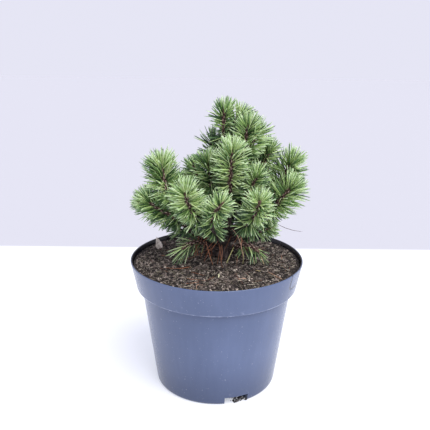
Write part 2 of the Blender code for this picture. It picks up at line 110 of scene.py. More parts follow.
class Finish:
    """A Principled material, with the nodes that vary it over a surface."""

    def __init__(self, name, **fixed):
        self.material = bpy.data.materials.new(name)
        self.material.use_nodes = True
        self.shader = self.material.node_tree.nodes["Principled BSDF"]
        for socket, value in fixed.items():
            self.shader.inputs[socket.replace("_", " ")].default_value = value

    def link(self, value, socket):
        source = value.socket if isinstance(value, Level) else value
        self.material.node_tree.links.new(source, socket)

    def node(self, kind, settings, sockets):
        """A node of this kind, its settings first, then the values or links of its sockets."""
        made = self.material.node_tree.nodes.new(kind)
        for key, value in settings.items():
            if key == "stops":
                steps = made.color_ramp.elements
                while len(steps) < len(value):
                    steps.new(1)
                for step, (place, color) in zip(steps, value):
                    step.position = place
                    step.color = (*color, 1)
            else:
                setattr(made, key, value)
        for key, value in sockets.items():
            if isinstance(value, (Level, bpy.types.NodeSocket)):
                self.link(value, made.inputs[key])
            else:
                made.inputs[key].default_value = value
        return made

    def maths(self, operation, *values):
        made = self.node("ShaderNodeMath", {"operation": operation}, dict(enumerate(values)))
        return Level(self, made.outputs[0])

    def places(self, stretch=(1, 1, 1)):
        """Object coordinates, each axis multiplied by its stretch."""
        source = self.node("ShaderNodeTexCoord", {}, {}).outputs["Object"]
        return self.node("ShaderNodeMapping", {}, {"Vector": source, "Scale": stretch}).outputs[0]

    def noise(self, scale, detail=2.0, stretch=(1, 1, 1)):
        """Cloudy noise from 0 to 1, this many features to a metre."""
        sockets = {"Vector": self.places(stretch), "Scale": scale, "Detail": detail}
        return Level(self, self.node("ShaderNodeTexNoise", {}, sockets).outputs[0])

    def chart(self, axis):
        """One axis of the piece's own map: 0 is its shade and 1 how far along it lies."""
        source = self.node("ShaderNodeUVMap", {"uv_map": "OFBake"}, {}).outputs[0]
        return Level(self, self.node("ShaderNodeSeparateXYZ", {}, {0: source}).outputs[axis])

    def ease(self, value, low, high):
        """0 below low, 1 above high, and a smooth step between."""
        settings = {"interpolation_type": "SMOOTHSTEP"}
        made = self.node("ShaderNodeMapRange", settings, {0: value, 1: low, 2: high})
        return Level(self, made.outputs[0])

    def band(self, value, *edges):
        """0, then 1, then 0 again, with a smooth step between the first two edges and the last two."""
        return self.ease(value, *edges[:2]) * (1 - self.ease(value, *edges[2:]))

    def ramp(self, value, *stops):
        return self.node("ShaderNodeValToRGB", {"stops": stops}, {0: value}).outputs[0]

    def mixed(self, share, first, second):
        """A colour this far from the first to the second."""
        sockets = {}
        for key, value in ((0, share), (6, first), (7, second)):
            sockets[key] = (*value, 1) if isinstance(value, tuple) else value
        return self.node("ShaderNodeMix", {"data_type": "RGBA"}, sockets).outputs[2]

    def paint(self, color, roughness=None, height=None, depth=0.001):
        """Joins colour, roughness and a bump of this depth in metres to the shader."""
        self.link(color, self.shader.inputs["Base Color"])
        if roughness is not None:
            self.link(roughness, self.shader.inputs["Roughness"])
        if height is not None:
            bump = self.node("ShaderNodeBump", {}, {"Height": height, "Distance": depth})
            self.link(bump.outputs[0], self.shader.inputs["Normal"])
        return self.material


def new_object(name, data):
    made = bpy.data.objects.new(name, data)
    bpy.context.scene.collection.objects.link(made)
    return made


def new_piece(name, places, faces, finish, chart=None):
    """A mesh object from an array of places and arrays of faces, each with one number of corners.
    chart gives every vertex its two numbers on the piece's own map."""
    mesh = bpy.data.meshes.new(name)
    corners = np.concatenate([kind.ravel() for kind in faces])
    sizes = np.concatenate([np.full(len(kind), kind.shape[1]) for kind in faces])
    mesh.vertices.add(len(places))
    mesh.vertices.foreach_set("co", places.astype(np.float32).ravel())
    mesh.loops.add(len(corners))
    mesh.loops.foreach_set("vertex_index", corners.astype(np.int32))
    mesh.polygons.add(len(sizes))
    mesh.polygons.foreach_set("loop_start", (np.cumsum(sizes) - sizes).astype(np.int32))
    if chart is not None:
        layer = mesh.uv_layers.new(name="OFBake")
        layer.uv.foreach_set("vector", chart[corners].astype(np.float32).ravel())
    mesh.update(calc_edges=True)
    mesh.shade_smooth()
    mesh.materials.append(finish)
    return new_object(name, mesh)


def net_faces(rows, columns):
    """Four-cornered faces of a grid of rows by columns, the last column joined to the first."""
    row = np.arange(rows - 1)[:, None] * columns
    column = np.arange(columns)[None, :]
    after = (column + 1) % columns
    corners = [row + column, row + after, row + columns + after, row + columns + column]
    return np.stack(corners, -1).reshape(-1, 4)


def compass(bearing):
    """Level unit vectors at these many degrees from the front, round to the right."""
    turn = np.radians(bearing)
    return np.stack([np.sin(turn), -np.cos(turn), np.zeros_like(turn)], -1)


def rounded(*profile, radius=0.0006):
    """A profile with each inner corner replaced by an arc of four points: a quadratic curve that leaves
    and meets the straight runs at the radius from the corner, or less where a run is short."""
    profile = np.array(profile)
    made = [profile[0]]
    for before, corner, after in zip(profile, profile[1:], profile[2:]):
        back, on = before - corner, after - corner
        near = corner + back / np.linalg.norm(back) * min(radius, np.linalg.norm(back) * 0.45)
        far = corner + on / np.linalg.norm(on) * min(radius, np.linalg.norm(on) * 0.45)
        for t in np.linspace(0, 1, 4):
            made.append((1 - t) ** 2 * near + 2 * t * (1 - t) * corner + t**2 * far)
    made.append(profile[-1])
    return np.array(made)


def pot_columns():
    """Bearings of the pot's columns, and whether each cuts through a recess. Where a recess starts or
    ends, two columns share a bearing, and the faces between them are the recess's side wall."""
    half = math.degrees(math.asin(RECESS_WIDTH / 2 / BASE_RADIUS))
    bearings, cut = [], []
    for i, middle in enumerate(RECESS_BEARINGS):
        following = RECESS_BEARINGS[(i + 1) % 3] + (360 if i == 2 else 0)
        inside = np.linspace(middle - half, middle + half, 17)
        outside = np.linspace(middle + half, following - half, 65)
        bearings += [inside, outside]
        cut += [np.full(17, True), np.full(65, False)]
    return np.concatenate(bearings), np.concatenate(cut)


def pot_net():
    """The pot's skin from the middle of its floor, up the inside, over the rim, down the outside and
    under to the middle: a profile of (radius, height) turned about the axis. In a recess the profile's
    lowest run goes in along the recess's roof, down its back wall and out along its foot instead, with
    its distance across the recess held, so the side walls are parallel."""
    edge = (BASE_RADIUS + 0.0008, RECESS_HEIGHT)
    top = rounded(
        (0.0, FLOOR),
        (BASE_RADIUS - RECESS_DEPTH - WALL - 0.004, FLOOR),
        (BASE_RADIUS - WALL, RECESS_HEIGHT + WALL + 0.004),
        (BODY_RADIUS - WALL, COLLAR_STEP_HEIGHT + 0.0025),
        (COLLAR_FOOT_RADIUS - WALL, COLLAR_STEP_HEIGHT + 0.0045),
        (RIM_RADIUS - WALL, POT_HEIGHT - 0.0004),
        (RIM_RADIUS - WALL + 0.0006, POT_HEIGHT),
        (RIM_RADIUS - 0.0005, POT_HEIGHT),
        (RIM_RADIUS, POT_HEIGHT - 0.0007),
        (COLLAR_FOOT_RADIUS, COLLAR_STEP_HEIGHT + 0.0008),
        (COLLAR_FOOT_RADIUS - 0.0007, COLLAR_STEP_HEIGHT),
        (BODY_RADIUS + 0.0004, COLLAR_STEP_HEIGHT - 0.0002),
        (BODY_RADIUS - 0.0001, COLLAR_STEP_HEIGHT - 0.002),
        edge,
    )
    whole = rounded(
        edge,
        (BASE_RADIUS + 0.0001, 0.0050),
        (BASE_RADIUS - 0.0006, 0.0022),
        (BASE_RADIUS - 0.0016, 0.0008),
        (BASE_RADIUS - 0.0040, 0.0),
        (0.062, 0.0),
        (RING_RADIUS, RING_DEPTH),
        (0.038, RING_DEPTH),
        (0.036, 0.0),
        (0.0, 0.0),
        radius=0.001,
    )[1:]
    back = BASE_RADIUS - RECESS_DEPTH
    recessed = rounded(
        edge,
        (BASE_RADIUS + 0.0005, RECESS_HEIGHT + 0.0004),
        (BASE_RADIUS - 0.004, RECESS_HEIGHT),
        (back + 0.001, RECESS_HEIGHT),
        (back, 0.003),
        (back, 0.0),
        (RING_RADIUS, 0.0),
        (0.058, RING_DEPTH),
        (0.038, RING_DEPTH),
        (0.0, 0.0),
    )[1:]
    bearings, cut = pot_columns()
    away = np.abs((bearings[:, None] - RECESS_BEARINGS + 180) % 360 - 180)
    middles = np.array(RECESS_BEARINGS)[away.argmin(1)]
    off = np.radians(bearings - middles)
    across = (BASE_RADIUS + 0.0006) * np.sin(off)
    rows = [compass(bearings) * radius + (0, 0, height) for radius, height in top[1:]]
    for (plain, plain_height), (inner, inner_height) in zip(whole[:-1], recessed[:-1]):
        deep = inner * np.cos(off) if inner > BASE_RADIUS - 0.002 else np.full(len(off), inner)
        held = compass(middles) * deep[:, None] + compass(middles + 90) * across[:, None]
        if inner < RING_RADIUS + 0.0001:
            held = compass(bearings) * inner
        outer = compass(bearings) * plain + (0, 0, plain_height)
        rows.append(np.where(cut[:, None], held + (0, 0, inner_height), outer))
    return np.array(rows)


def closed_skin(net, first, last):
    """Places and faces of a net whose first and last rows shrink to one point each."""
    rows, columns = net.shape[:2]
    places = np.concatenate([net.reshape(-1, 3), [first, last]])
    ring = np.arange(columns)
    after = (ring + 1) % columns
    end = (rows - 1) * columns
    start_fan = np.stack([np.full(columns, rows * columns), after, ring], -1)
    end_fan = np.stack([end + ring, end + after, np.full(columns, rows * columns + 1)], -1)
    return places, [net_faces(rows, columns), start_fan, end_fan]


def pot_plastic():
    """Matte moulded plastic: a slow change of tone, painted shade that darkens it towards the bottom,
    faint draw marks down the wall, a few dust specks, a thin painted highlight along the collar's bottom
    edge with a wider painted sheen above it broken up like scuff marks, the label tongue a little paler
    with painted light and the groove round it darkened with painted shade, and the inside of the wall
    above the soil darkened near black with painted shade."""
    plastic = Finish("pot_plastic", Metallic=0.0, Specular_IOR_Level=0.5)
    tone = plastic.noise(9, 3)
    marks = plastic.noise(1, 4, (170, 170, 4))
    specks = plastic.ease(plastic.noise(620, 1), 0.745, 0.78)
    parts = plastic.node("ShaderNodeSeparateXYZ", {}, {0: plastic.places()})
    x, y, height = [Level(plastic, parts.outputs[axis]) for axis in range(3)]
    step = COLLAR_STEP_HEIGHT
    # A thin painted highlight along the collar's bottom edge, and above it a wider painted sheen, broken
    # up by noise like scuff marks.
    edge = plastic.band(height, step - 0.0006, step, step + 0.0010, step + 0.0020)
    sheen_and_scuff_band = plastic.band(height, step + 0.0005, step + 0.0020, step + 0.0045, step + 0.0080)
    sheen_and_scuff_band = sheen_and_scuff_band * plastic.ease(plastic.noise(70, 5), 0.58, 0.70) * 0.5
    edge_highlight_and_scuffs = sheen_and_scuff_band + edge * plastic.ease(plastic.noise(60, 4), 0.28, 0.62)
    # The inside of the wall, from under the soil's edge up to the rim, is darkened near black with
    # painted shade.
    inset = height * WALL_LEAN + (WALL_MIDDLE - plastic.maths("SQRT", x * x + y * y))
    painted_inner_shade = plastic.ease(inset, -0.0005, 0.0003) * plastic.ease(height, 0.150, 0.155)
    # The label tongue: the groove round it is darkened with painted shade, and inside it the plastic is a
    # little paler with painted light.
    turn = plastic.maths("ARCTAN2", x, y * -1)
    arc = plastic.maths("ABSOLUTE", (turn - MARK_BEARING) * COLLAR_FOOT_RADIUS)
    beside = plastic.maths("MAXIMUM", arc - (MARK_HALF_WIDTH - MARK_CORNER), 0)
    under = plastic.maths("MAXIMUM", MARK_FOOT + MARK_CORNER - height, 0)
    beyond = plastic.maths("SQRT", beside * beside + under * under) - MARK_CORNER
    groove = 1 - plastic.ease(plastic.maths("ABSOLUTE", beyond), 0.0009, 0.0019)
    tongue = 1 - plastic.ease(beyond, -0.0012, 0.0)
    # Painted shade darkens the wall towards the bottom.
    painted_base_shade = 1 - plastic.ease(height, 0.0, 0.080) * 0.999
    mottle = plastic.ease(tone * 0.8 + marks * 0.2, 0.34, 0.68)
    color = plastic.mixed(mottle, (0.0715, 0.0995, 0.188), (0.094, 0.126, 0.230))
    for share, tint in (
        (painted_base_shade * 0.62, (0.020, 0.032, 0.076)),
        (edge_highlight_and_scuffs * 0.7, (0.270, 0.310, 0.440)),
        (specks * 0.5, (0.45, 0.47, 0.55)),
        (tongue * 0.15, (0.300, 0.350, 0.480)),
        (groove * 0.9, (0.016, 0.022, 0.050)),
        (painted_inner_shade, (0.0025, 0.003, 0.007)),
    ):
        color = plastic.mixed(share, color, tint)
    fine = plastic.noise(1900, 2)
    relief = fine * 0.3 + marks * 0.2 - groove
    return plastic.paint(color, 0.16 + marks * 0.06 + edge_highlight_and_scuffs * 0.1, relief, 0.0003)


plastic = pot_plastic()
net = pot_net()
places, faces = closed_skin(net, (0, 0, FLOOR), (0, 0, 0))
pot = new_piece("pot_shell", places, faces, plastic)
pot.data.set_sharp_from_angle(angle=math.radians(50))
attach(pot, "root")
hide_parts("pot")

# Soil: a peat mix, poured in to just under the rim and watered down, so it lies a little lower at the
# wall. It shows as one crumbled skin, from the foot of the trunk to the wall and a little way down it.
SOIL_TOP = 0.176
SOIL_RADIUS = 0.1110
SOIL_FOOT = 0.150
SOIL_SLOPE = ((0, 0), (0.026, 0), (0.052, 0.0020), (0.082, 0.0040), (0.107, 0.0056), (0.112, 0.0057))
SOIL_CLOUDS = ((0.021, 0.0012), (0.0062, 0.0010), (0.0030, 0.0011), (0.0016, 0.0006))  # size, depth
CLOUD_ROOM = 0.0012
FADE_RADIUS = 0.1125
FADE_REACH = 0.012


def clouds(x, y, size, seed):
    """Smooth random heights from -1 to 1: random numbers at the knots of a square net of this size,
    and between four knots the mean of theirs, weighted by a smooth step across and along."""
    knots = np.random.default_rng(seed).uniform(-1, 1, (257, 257))
    u, v = x / size + 128.5, y / size + 128.5
    i, j = np.floor(u).astype(int) % 256, np.floor(v).astype(int) % 256
    a, b = u % 1, v % 1
    a, b = a * a * (3 - 2 * a), b * b * (3 - 2 * b)
    near = knots[i, j] * (1 - a) + knots[i + 1, j] * a
    far = knots[i, j + 1] * (1 - a) + knots[i + 1, j + 1] * a
    return near * (1 - b) + far * b


def soil_height(x, y):
    """Height of the soil's surface: the mound's, by radius, and about a level a little under it a
    crumbled relief of four sizes of cloud, which fades towards the wall."""
    radius = np.hypot(x, y)
    fall = np.interp(radius, *np.array(SOIL_SLOPE).T)
    relief = sum(depth * clouds(x, y, size, seed) for seed, (size, depth) in enumerate(SOIL_CLOUDS))
    fade = np.clip((FADE_RADIUS - radius) / FADE_REACH, 0.3, 1)
    return SOIL_TOP - fall - CLOUD_ROOM + relief * fade


def over_soil(places, lift):
    """The soil's height at each of these places, and this much more."""
    return soil_height(places[:, 0], places[:, 1]) + lift


def scattered(chance, count, reach):
    """Random places at height 0, spread evenly over the pot's round out to this reach."""
    bearing = chance.uniform(0, 360, count)
    return compass(bearing) * (reach * np.sqrt(chance.uniform(0, 1, count)))[:, None]


def soil_net():
    """Rings from the middle out to the wall at the soil's height, then down the pot's inside."""
    radii = np.linspace(0.0012, SOIL_RADIUS, 120)
    turn = compass(np.linspace(0, 360, 360, endpoint=False))
    rings = radii[:, None, None] * turn
    rings[..., 2] = soil_height(rings[..., 0], rings[..., 1])
    wall = [turn * radius + (0, 0, height) for radius, height in ((0.1085, 0.160), (0.1050, SOIL_FOOT))]
    return np.concatenate([rings, wall])[::-1]


def soil_finish():
    """Wet peat: brown, a few tan grains, and near black in patches, painted shade for the hollows."""
    peat = Finish("soil_peat", Roughness=0.92, Specular_IOR_Level=0.25)
    grains = peat.noise(420, 4)
    damp = peat.noise(38, 3)
    # The near-black end of this range is painted shade for the gaps between crumbs.
    color = peat.ramp(
        grains * 0.75 + damp * 0.25,
        (0.38, (0.006, 0.005, 0.006)),
        (0.50, (0.022, 0.018, 0.017)),
        (0.60, (0.075, 0.061, 0.055)),
        (0.70, (0.270, 0.235, 0.215)),
    )
    return peat.paint(color, None, peat.noise(900, 3), 0.0012)


places, faces = closed_skin(soil_net(), (0, 0, SOIL_FOOT), (0, 0, SOIL_TOP - 0.0017))
soil = new_piece("soil_surface", places, faces, soil_finish())
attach(soil, "root")
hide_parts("soil")

# Crumbs: loose grains of the same peat, from dust to small clods, that lie as they were poured. Dry
# ones are paler.
CRUMBS = 5200
CRUMB_SIZE = 0.00072
SOIL_SEED = 21
LOOSE_RADIUS = 0.1085


def lump_shape():
    """The twelve corners and twenty faces of the regular icosahedron, which make one rounded lump."""
    golden = (1 + 5**0.5) / 2
    corners = []
    for a in (-1, 1):
        for b in (-golden, golden):
            corners += [(0, a, b), (a, b, 0), (b, 0, a)]
    corners = np.array(corners) / math.hypot(1, golden)
    gaps = np.linalg.norm(corners[:, None] - corners[None], axis=-1)
    near = (gaps > 0) & (gaps < 1.1)
    faces = []
    for i in range(12):
        for j in range(i + 1, 12):
            for k in range(j + 1, 12):
                if near[i, j] and near[j, k] and near[i, k]:
                    out = np.dot(np.cross(corners[j] - corners[i], corners[k] - corners[i]), corners[i])
                    faces.append((i, j, k) if out > 0 else (i, k, j))
    return corners, np.array(faces)


def turns(spins):
    """Rotation matrices from rows of four numbers, which are made unit quaternions first."""
    w, x, y, z = (spins / np.linalg.norm(spins, axis=1, keepdims=True)).T
    return np.stack(
        [
            np.stack([1 - 2 * (y * y + z * z), 2 * (x * y - w * z), 2 * (x * z + w * y)], -1),
            np.stack([2 * (x * y + w * z), 1 - 2 * (x * x + z * z), 2 * (y * z - w * x)], -1),
            np.stack([2 * (x * z - w * y), 2 * (y * z + w * x), 1 - 2 * (x * x + y * y)], -1),
        ],
        1,
    )


def lumps(name, spots, sizes, shades, spin, finish, jitter, chance):
    """One joined mesh of lumps: each is the lump's shape, its corners pushed in or out at random, then
    stretched by its three sizes, turned and put on its spot."""
    corners, faces = lump_shape()
    count = len(spots)
    places = corners * (1 + jitter * chance.uniform(-1, 1, (count, 12, 1)))
    places = np.einsum("nij,nkj->nki", spin, places * sizes[:, None, :]) + spots[:, None, :]
    joined = (faces[None] + 12 * np.arange(count)[:, None, None]).reshape(-1, 3)
    height = np.tile((corners[:, 2] + 1) / 2, (count, 1))
    chart = np.stack([shades[:, None] + 0.012 * (corners[:, 0] + 1), height], -1)
    return new_piece(name, places.reshape(-1, 3), [joined], finish, chart.reshape(-1, 2))


def loose_finish(name, *stops, roughness=0.85, specular=0.3):
    """Loose bits, each of one colour, which its shade picks from this range."""
    bits = Finish(name, Roughness=roughness, Specular_IOR_Level=specular)
    return bits.paint(bits.ramp(bits.chart(0), *stops))


chance = np.random.default_rng(SOIL_SEED)
spots = scattered(chance, CRUMBS, LOOSE_RADIUS)
sizes = CRUMB_SIZE * np.exp(chance.normal(0, 0.42, CRUMBS))[:, None]
sizes = sizes * chance.uniform(0.55, 1.5, (CRUMBS, 3))
spots[:, 2] = over_soil(spots, 0.25 * sizes.mean(1))
crumbs = lumps(
    "soil_crumbs",
    spots,
    sizes,
    chance.uniform(0, 0.97, CRUMBS),
    turns(chance.normal(size=(CRUMBS, 4))),
    loose_finish(
        "soil_crumbs",
        (0.00, (0.008, 0.006, 0.006)),
        (0.40, (0.036, 0.028, 0.025)),
        (0.66, (0.128, 0.099, 0.088)),
        (0.88, (0.262, 0.218, 0.196)),
        (0.985, (0.360, 0.312, 0.268)),
    ),
    0.28,
    chance,
)
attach(crumbs, "root")
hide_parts("soil")

# Washed-out peat: two round drain holes in the back wall of each recess are plugged with wet peat, and
# at the front some of it has washed out and lies heaped in the recess.
DRAIN_RADIUS = 0.0026
DRAIN_SPACING = 0.017
PLUG_LUMPS = 26
PLUG_SIZE = 0.0007
SPILLED = 120
SPILLED_SIZE = 0.00075
DRAIN_SEED = 31
RECESS_BACK = BASE_RADIUS - RECESS_DEPTH
HEAP_ACROSS = 0.0080
HEAP_WIDTH = 0.0045
HEAP_HEIGHT = 0.0045


def in_recess(bearing, across, out, height):
    """Places in the recess at this bearing, so far across it, out from the pot's middle and up."""
    level = compass(bearing) * out[:, None] + compass(bearing + 90) * across[:, None]
    return level + np.outer(height, (0, 0, 1))


chance = np.random.default_rng(DRAIN_SEED)
spots, sizes = [], []
for bearing in RECESS_BEARINGS:
    for side in (-0.5, 0.5):
        turn = chance.uniform(0, 2 * np.pi, PLUG_LUMPS)
        off = DRAIN_RADIUS * np.sqrt(chance.uniform(0, 1, PLUG_LUMPS))
        out = RECESS_BACK + chance.uniform(-0.0004, 0.0006, PLUG_LUMPS)
        height = (FLOOR + RECESS_HEIGHT) / 2 + off * np.sin(turn) * 0.8
        spots.append(in_recess(bearing, side * DRAIN_SPACING + off * np.cos(turn), out, height))
        sizes.append(PLUG_SIZE * np.exp(chance.normal(0, 0.3, (PLUG_LUMPS, 3))))
across = np.clip(chance.normal(0.0065, 0.0050, SPILLED), -0.0130, 0.0145)
out = RECESS_BACK + 0.0012 + 0.0125 * chance.uniform(0, 1, SPILLED) ** 0.9
size = SPILLED_SIZE * np.exp(chance.normal(0, 0.35, (SPILLED, 1)))
size = size * chance.uniform(0.6, 1.5, (SPILLED, 3))
heap = HEAP_HEIGHT * np.exp(-(((across - HEAP_ACROSS) / HEAP_WIDTH) ** 2))
heap = heap * chance.uniform(0, 1, SPILLED)
spots.append(in_recess(RECESS_BEARINGS[0], across, out, size.max(1) + 0.0001 + heap))
sizes.append(size)
spots, sizes = np.concatenate(spots), np.concatenate(sizes)
drained = lumps(
    "drained_peat",
    spots,
    sizes,
    chance.uniform(0, 1, len(spots)) ** 1.6 * 0.97,
    turns(chance.normal(size=(len(spots), 4))),
    loose_finish(
        "drained_peat",
        (0.00, (0.006, 0.006, 0.008)),
        (0.60, (0.022, 0.020, 0.022)),
        (0.85, (0.120, 0.110, 0.110)),
        (0.98, (0.380, 0.370, 0.380)),
    ),
    0.30,
    chance,
)
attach(drained, "root")
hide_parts("soil")

# Trunk and limbs: the bare wood, grown a whorl a year. Each branch springs from the one that carries it
# and turns up to its bud. The bark is dark and scaly, with the cushions of fallen needles on it.
FOOT = np.array((0.008, 0.005, SOIL_TOP + 0.0003))
FOOT_RADIUS = 0.0092
FLARE = 0.0048
FLARE_HEIGHT = 0.007
TRUNK_LEAN = 9.0
TRUNK_TAPER = 0.65
STEM_RADIUS = 0.0027
LIMB_GROWTH = 0.016
THICKEST_SHARE = 0.68
SPRING_RISE = 0.55
LEAST_SPRING, MOST_SPRING = -0.05, 0.75
LEAD = 0.42
CUSHION_HEIGHT = 0.0017
BARK_STEP = 0.0011
TRUNK_SCALES = (13, 0.0009)
LIMB_SCALES = (8, 0.0006)

# By name: parent, place on it, bearing, reach and height in millimetres, lean, needled length, a side
# twig's bearing, lean and share of that length, bearing of the side on which the needles part, and shade
# from 0, deep, to 1, pale. The shade is partly each tuft's own green and partly painted light: the lit
# front tufts are paler, and those behind and low down are deeper.
BRANCHES = {
    "top": (None, 0.0, 349, 5, 191, 10, 30, (95, 50, 0.85), 330, 0.54),
    "left": ("top", 0.10, 279, 99, 77, 58, 58, None, 0, 0.48),
    "front_left": ("top", 0.19, 330, 92, 106, 33, 46, None, 0, 0.79),
    "front": ("top", 0.10, 358, 90, 95, 42, 36, None, 350, 0.66),
    "front_right": ("top", 0.20, 26, 94, 96, 38, 40, None, 350, 0.68),
    "right": ("top", 0.12, 70, 89, 100, 36, 54, None, 330, 0.60),
    "back_right": ("top", 0.20, 126, 90, 74, 45, 52, None, 126, 0.45),
    "back": ("top", 0.12, 164, 84, 70, 45, 50, None, 164, 0.50),
    "back_left": ("top", 0.21, 232, 86, 84, 40, 52, None, 232, 0.45),
    "middle": ("top", 0.33, 10, 51, 149, 17, 58, None, 5, 0.72),
    "middle_right": ("top", 0.37, 40, 61, 119, 30, 40, None, 10, 0.53),
    "middle_left": ("top", 0.36, 314, 29, 130, 16, 46, None, 220, 0.56),
    "left_back": ("top", 0.32, 268, 38, 121, 18, 44, None, 320, 0.50),
    "right_back": ("top", 0.38, 99, 60, 141, 28, 44, None, 60, 0.48),
    "middle_back": ("top", 0.33, 184, 72, 106, 30, 46, None, 184, 0.50),
    "upper_right": ("top", 0.60, 57, 35, 175, 12, 42, (100, 34, 0.62), 345, 0.60),
    "upper_left": ("top", 0.56, 225, 22, 150, 28, 38, None, 300, 0.22),
    "upper_back": ("top", 0.58, 164, 40, 148, 24, 40, None, 164, 0.45),
    "left_high": ("left", 0.45, 277, 81, 122, 9, 52, None, 20, 0.62),
    "right_high": ("right", 0.62, 90, 86, 124, 42, 48, None, 350, 0.58),
    "right_low": ("right", 0.28, 82, 61, 40, 74, 28, None, 30, 0.47),
    "back_right_high": ("back_right", 0.50, 138, 72, 112, 26, 44, None, 138, 0.50),
    "back_low": ("back", 0.45, 200, 84, 66, 48, 46, None, 200, 0.40),
    "back_left_high": ("back_left", 0.50, 226, 62, 92, 24, 42, None, 226, 0.45),
    "low_left": ("top", 0.045, 304, 60, 22, 118, 34, None, 120, 0.44),
    "low_right": ("top", 0.050, 50, 56, 20, 116, 34, None, 230, 0.36),
    "low_back": ("top", 0.050, 258, 62, 30, 84, 34, None, 258, 0.40),
}

# The bearings that these lean to, which aren't the ones that they reach along.
LEANS_TO = {"front": 52, "front_left": 350, "front_right": 6, "right_high": 25}


def leaning(bearing, lean):
    """The unit vector that leans this many degrees from straight up towards the bearing."""
    tilt = math.radians(lean)
    return compass(bearing) * math.sin(tilt) + (0, 0, math.cos(tilt))


def unit(vectors):
    return vectors / np.linalg.norm(vectors, axis=-1, keepdims=True)


class Path:
    """A cubic curve from one place and heading to another, known at 49 places and measured by length.
    Its inner knots lie along the two headings, at the lead's share of the distance."""

    def __init__(self, start, start_way, end, end_way):
        reach = np.linalg.norm(end - start) * LEAD
        t = np.linspace(0, 1, 49)[:, None]
        knots = (start, start + start_way * reach, end - end_way * reach, end)
        self.points = sum(w * (1 - t) ** (3 - k) * t**k * knots[k] for k, w in enumerate((1, 3, 3, 1)))
        steps = np.linalg.norm(np.diff(self.points, axis=0), axis=1)
        self.marks = np.concatenate([[0], np.cumsum(steps)])
        self.length = self.marks[-1]

    def at(self, distance):
        return np.stack([np.interp(distance, self.marks, self.points[:, k]) for k in range(3)], -1)

    def heading(self, distance):
        return unit(self.at(distance + 0.001) - self.at(distance - 0.001))


class Stem:
    """One branch: its path, its bare length, its radius along the way, and how its needles lie. It
    springs out level plus a share of its rise, and its foot stays within a share of its carrier's
    thickness."""

    def __init__(self, key, row, parent):
        self.key = key
        self.carrier, along, bearing, reach, height, lean, needled, self.side, parting, self.shade = row
        self.needled = needled / 1000
        tip = FOOT + compass(bearing) * reach / 1000 + (0, 0, height / 1000)
        end_way = leaning(LEANS_TO.get(key, bearing), lean)
        if parent is None:
            self.path = Path(FOOT, leaning(90, TRUNK_LEAN), tip, end_way)
            self.foot_radius = FOOT_RADIUS
        else:
            spring = parent.path.at(along * parent.bare)
            level = (tip - spring) * (1, 1, 0)
            run = np.linalg.norm(level)
            rise = (tip[2] - spring[2]) / max(run, 0.001)
            out = level / run + (0, 0, min(max(SPRING_RISE * rise, LEAST_SPRING), MOST_SPRING))
            self.path = Path(spring, unit(out), tip, end_way)
            wanted = STEM_RADIUS + LIMB_GROWTH * self.path.length
            self.foot_radius = min(wanted, THICKEST_SHARE * parent.radius(along * parent.bare))
        self.bare = self.path.length - self.needled
        self.parting = unit(compass(parting) + (0, 0, 0.5))

    def radius(self, distance):
        """From the foot's radius to the needled stem's, with the root flare on the trunk."""
        share = np.minimum(distance / self.bare, 1)
        if self.carrier is None:
            flare = FLARE * np.exp(-distance / FLARE_HEIGHT)
            return FOOT_RADIUS + (STEM_RADIUS - FOOT_RADIUS) * share**TRUNK_TAPER + flare
        return self.foot_radius + (STEM_RADIUS - self.foot_radius) * share


stems = {}
for key, row in BRANCHES.items():
    stems[key] = Stem(key, row, stems.get(row[0]))


def frames(path, distances, towards):
    """Headings along a path, and two unit vectors across it, the first as near as can be to towards."""
    along = path.heading(distances)
    first = unit(towards - along * (along @ towards)[:, None])
    return along, first, np.cross(along, first)


def scaly_tube(path, distances, radii, towards, columns, scales, depth):
    """A tube round a path. Its radius gains a relief of cushions, which stand where two sets of spiral
    ridges cross: the root of the product of two waves, one climbing to each side. Returns places, faces
    and the map's numbers, which are the relief and the distance."""
    along, first, second = frames(path, distances, towards)
    turn = np.linspace(0, 2 * np.pi, columns, endpoint=False)
    climb = 2 * np.pi * distances[:, None] / (scales * CUSHION_HEIGHT)
    left_wave = 0.5 + 0.5 * np.cos(scales * turn + climb)
    right_wave = 0.5 + 0.5 * np.cos((scales - 2) * turn - climb)
    crest = np.sqrt(left_wave * right_wave)
    radius = radii[:, None] + depth * (crest - 0.35)
    ring = np.cos(turn)[None, :, None] * first[:, None] + np.sin(turn)[None, :, None] * second[:, None]
    net = path.at(distances)[:, None] + ring * radius[..., None]
    tip = path.at(distances[-1]) + along[-1] * radii[-1] * 0.5
    places, faces = closed_skin(net, net[0].mean(0), tip)
    chart = np.stack([crest * 0.96, np.broadcast_to(distances[:, None] / 0.2, crest.shape)], -1)
    return places, faces, np.concatenate([chart.reshape(-1, 2), [(0, 0), (0, 1)]])


def joined(parts):
    """Many (places, faces, chart) as one, the faces' corners moved on by the places before them."""
    places, faces, charts, start = [], {}, [], 0
    for some_places, some_faces, chart in parts:
        for kind in some_faces:
            faces.setdefault(kind.shape[1], []).append(kind + start)
        places.append(some_places)
        charts.append(chart)
        start += len(some_places)
    faces = [np.concatenate(kind) for kind in faces.values()]
    return np.concatenate(places), faces, np.concatenate(charts)


def bark_finish(name, *stops):
    """Scaly bark: dark in the furrows, paler on the crests, with a noise of its own over both."""
    bark = Finish(name, Roughness=0.85, Specular_IOR_Level=0.3)
    crest = bark.chart(0)
    color = bark.ramp(crest * 0.55 + bark.noise(700, 3) * 0.6, *stops)
    return bark.paint(color, None, bark.noise(1500, 3), 0.0006)


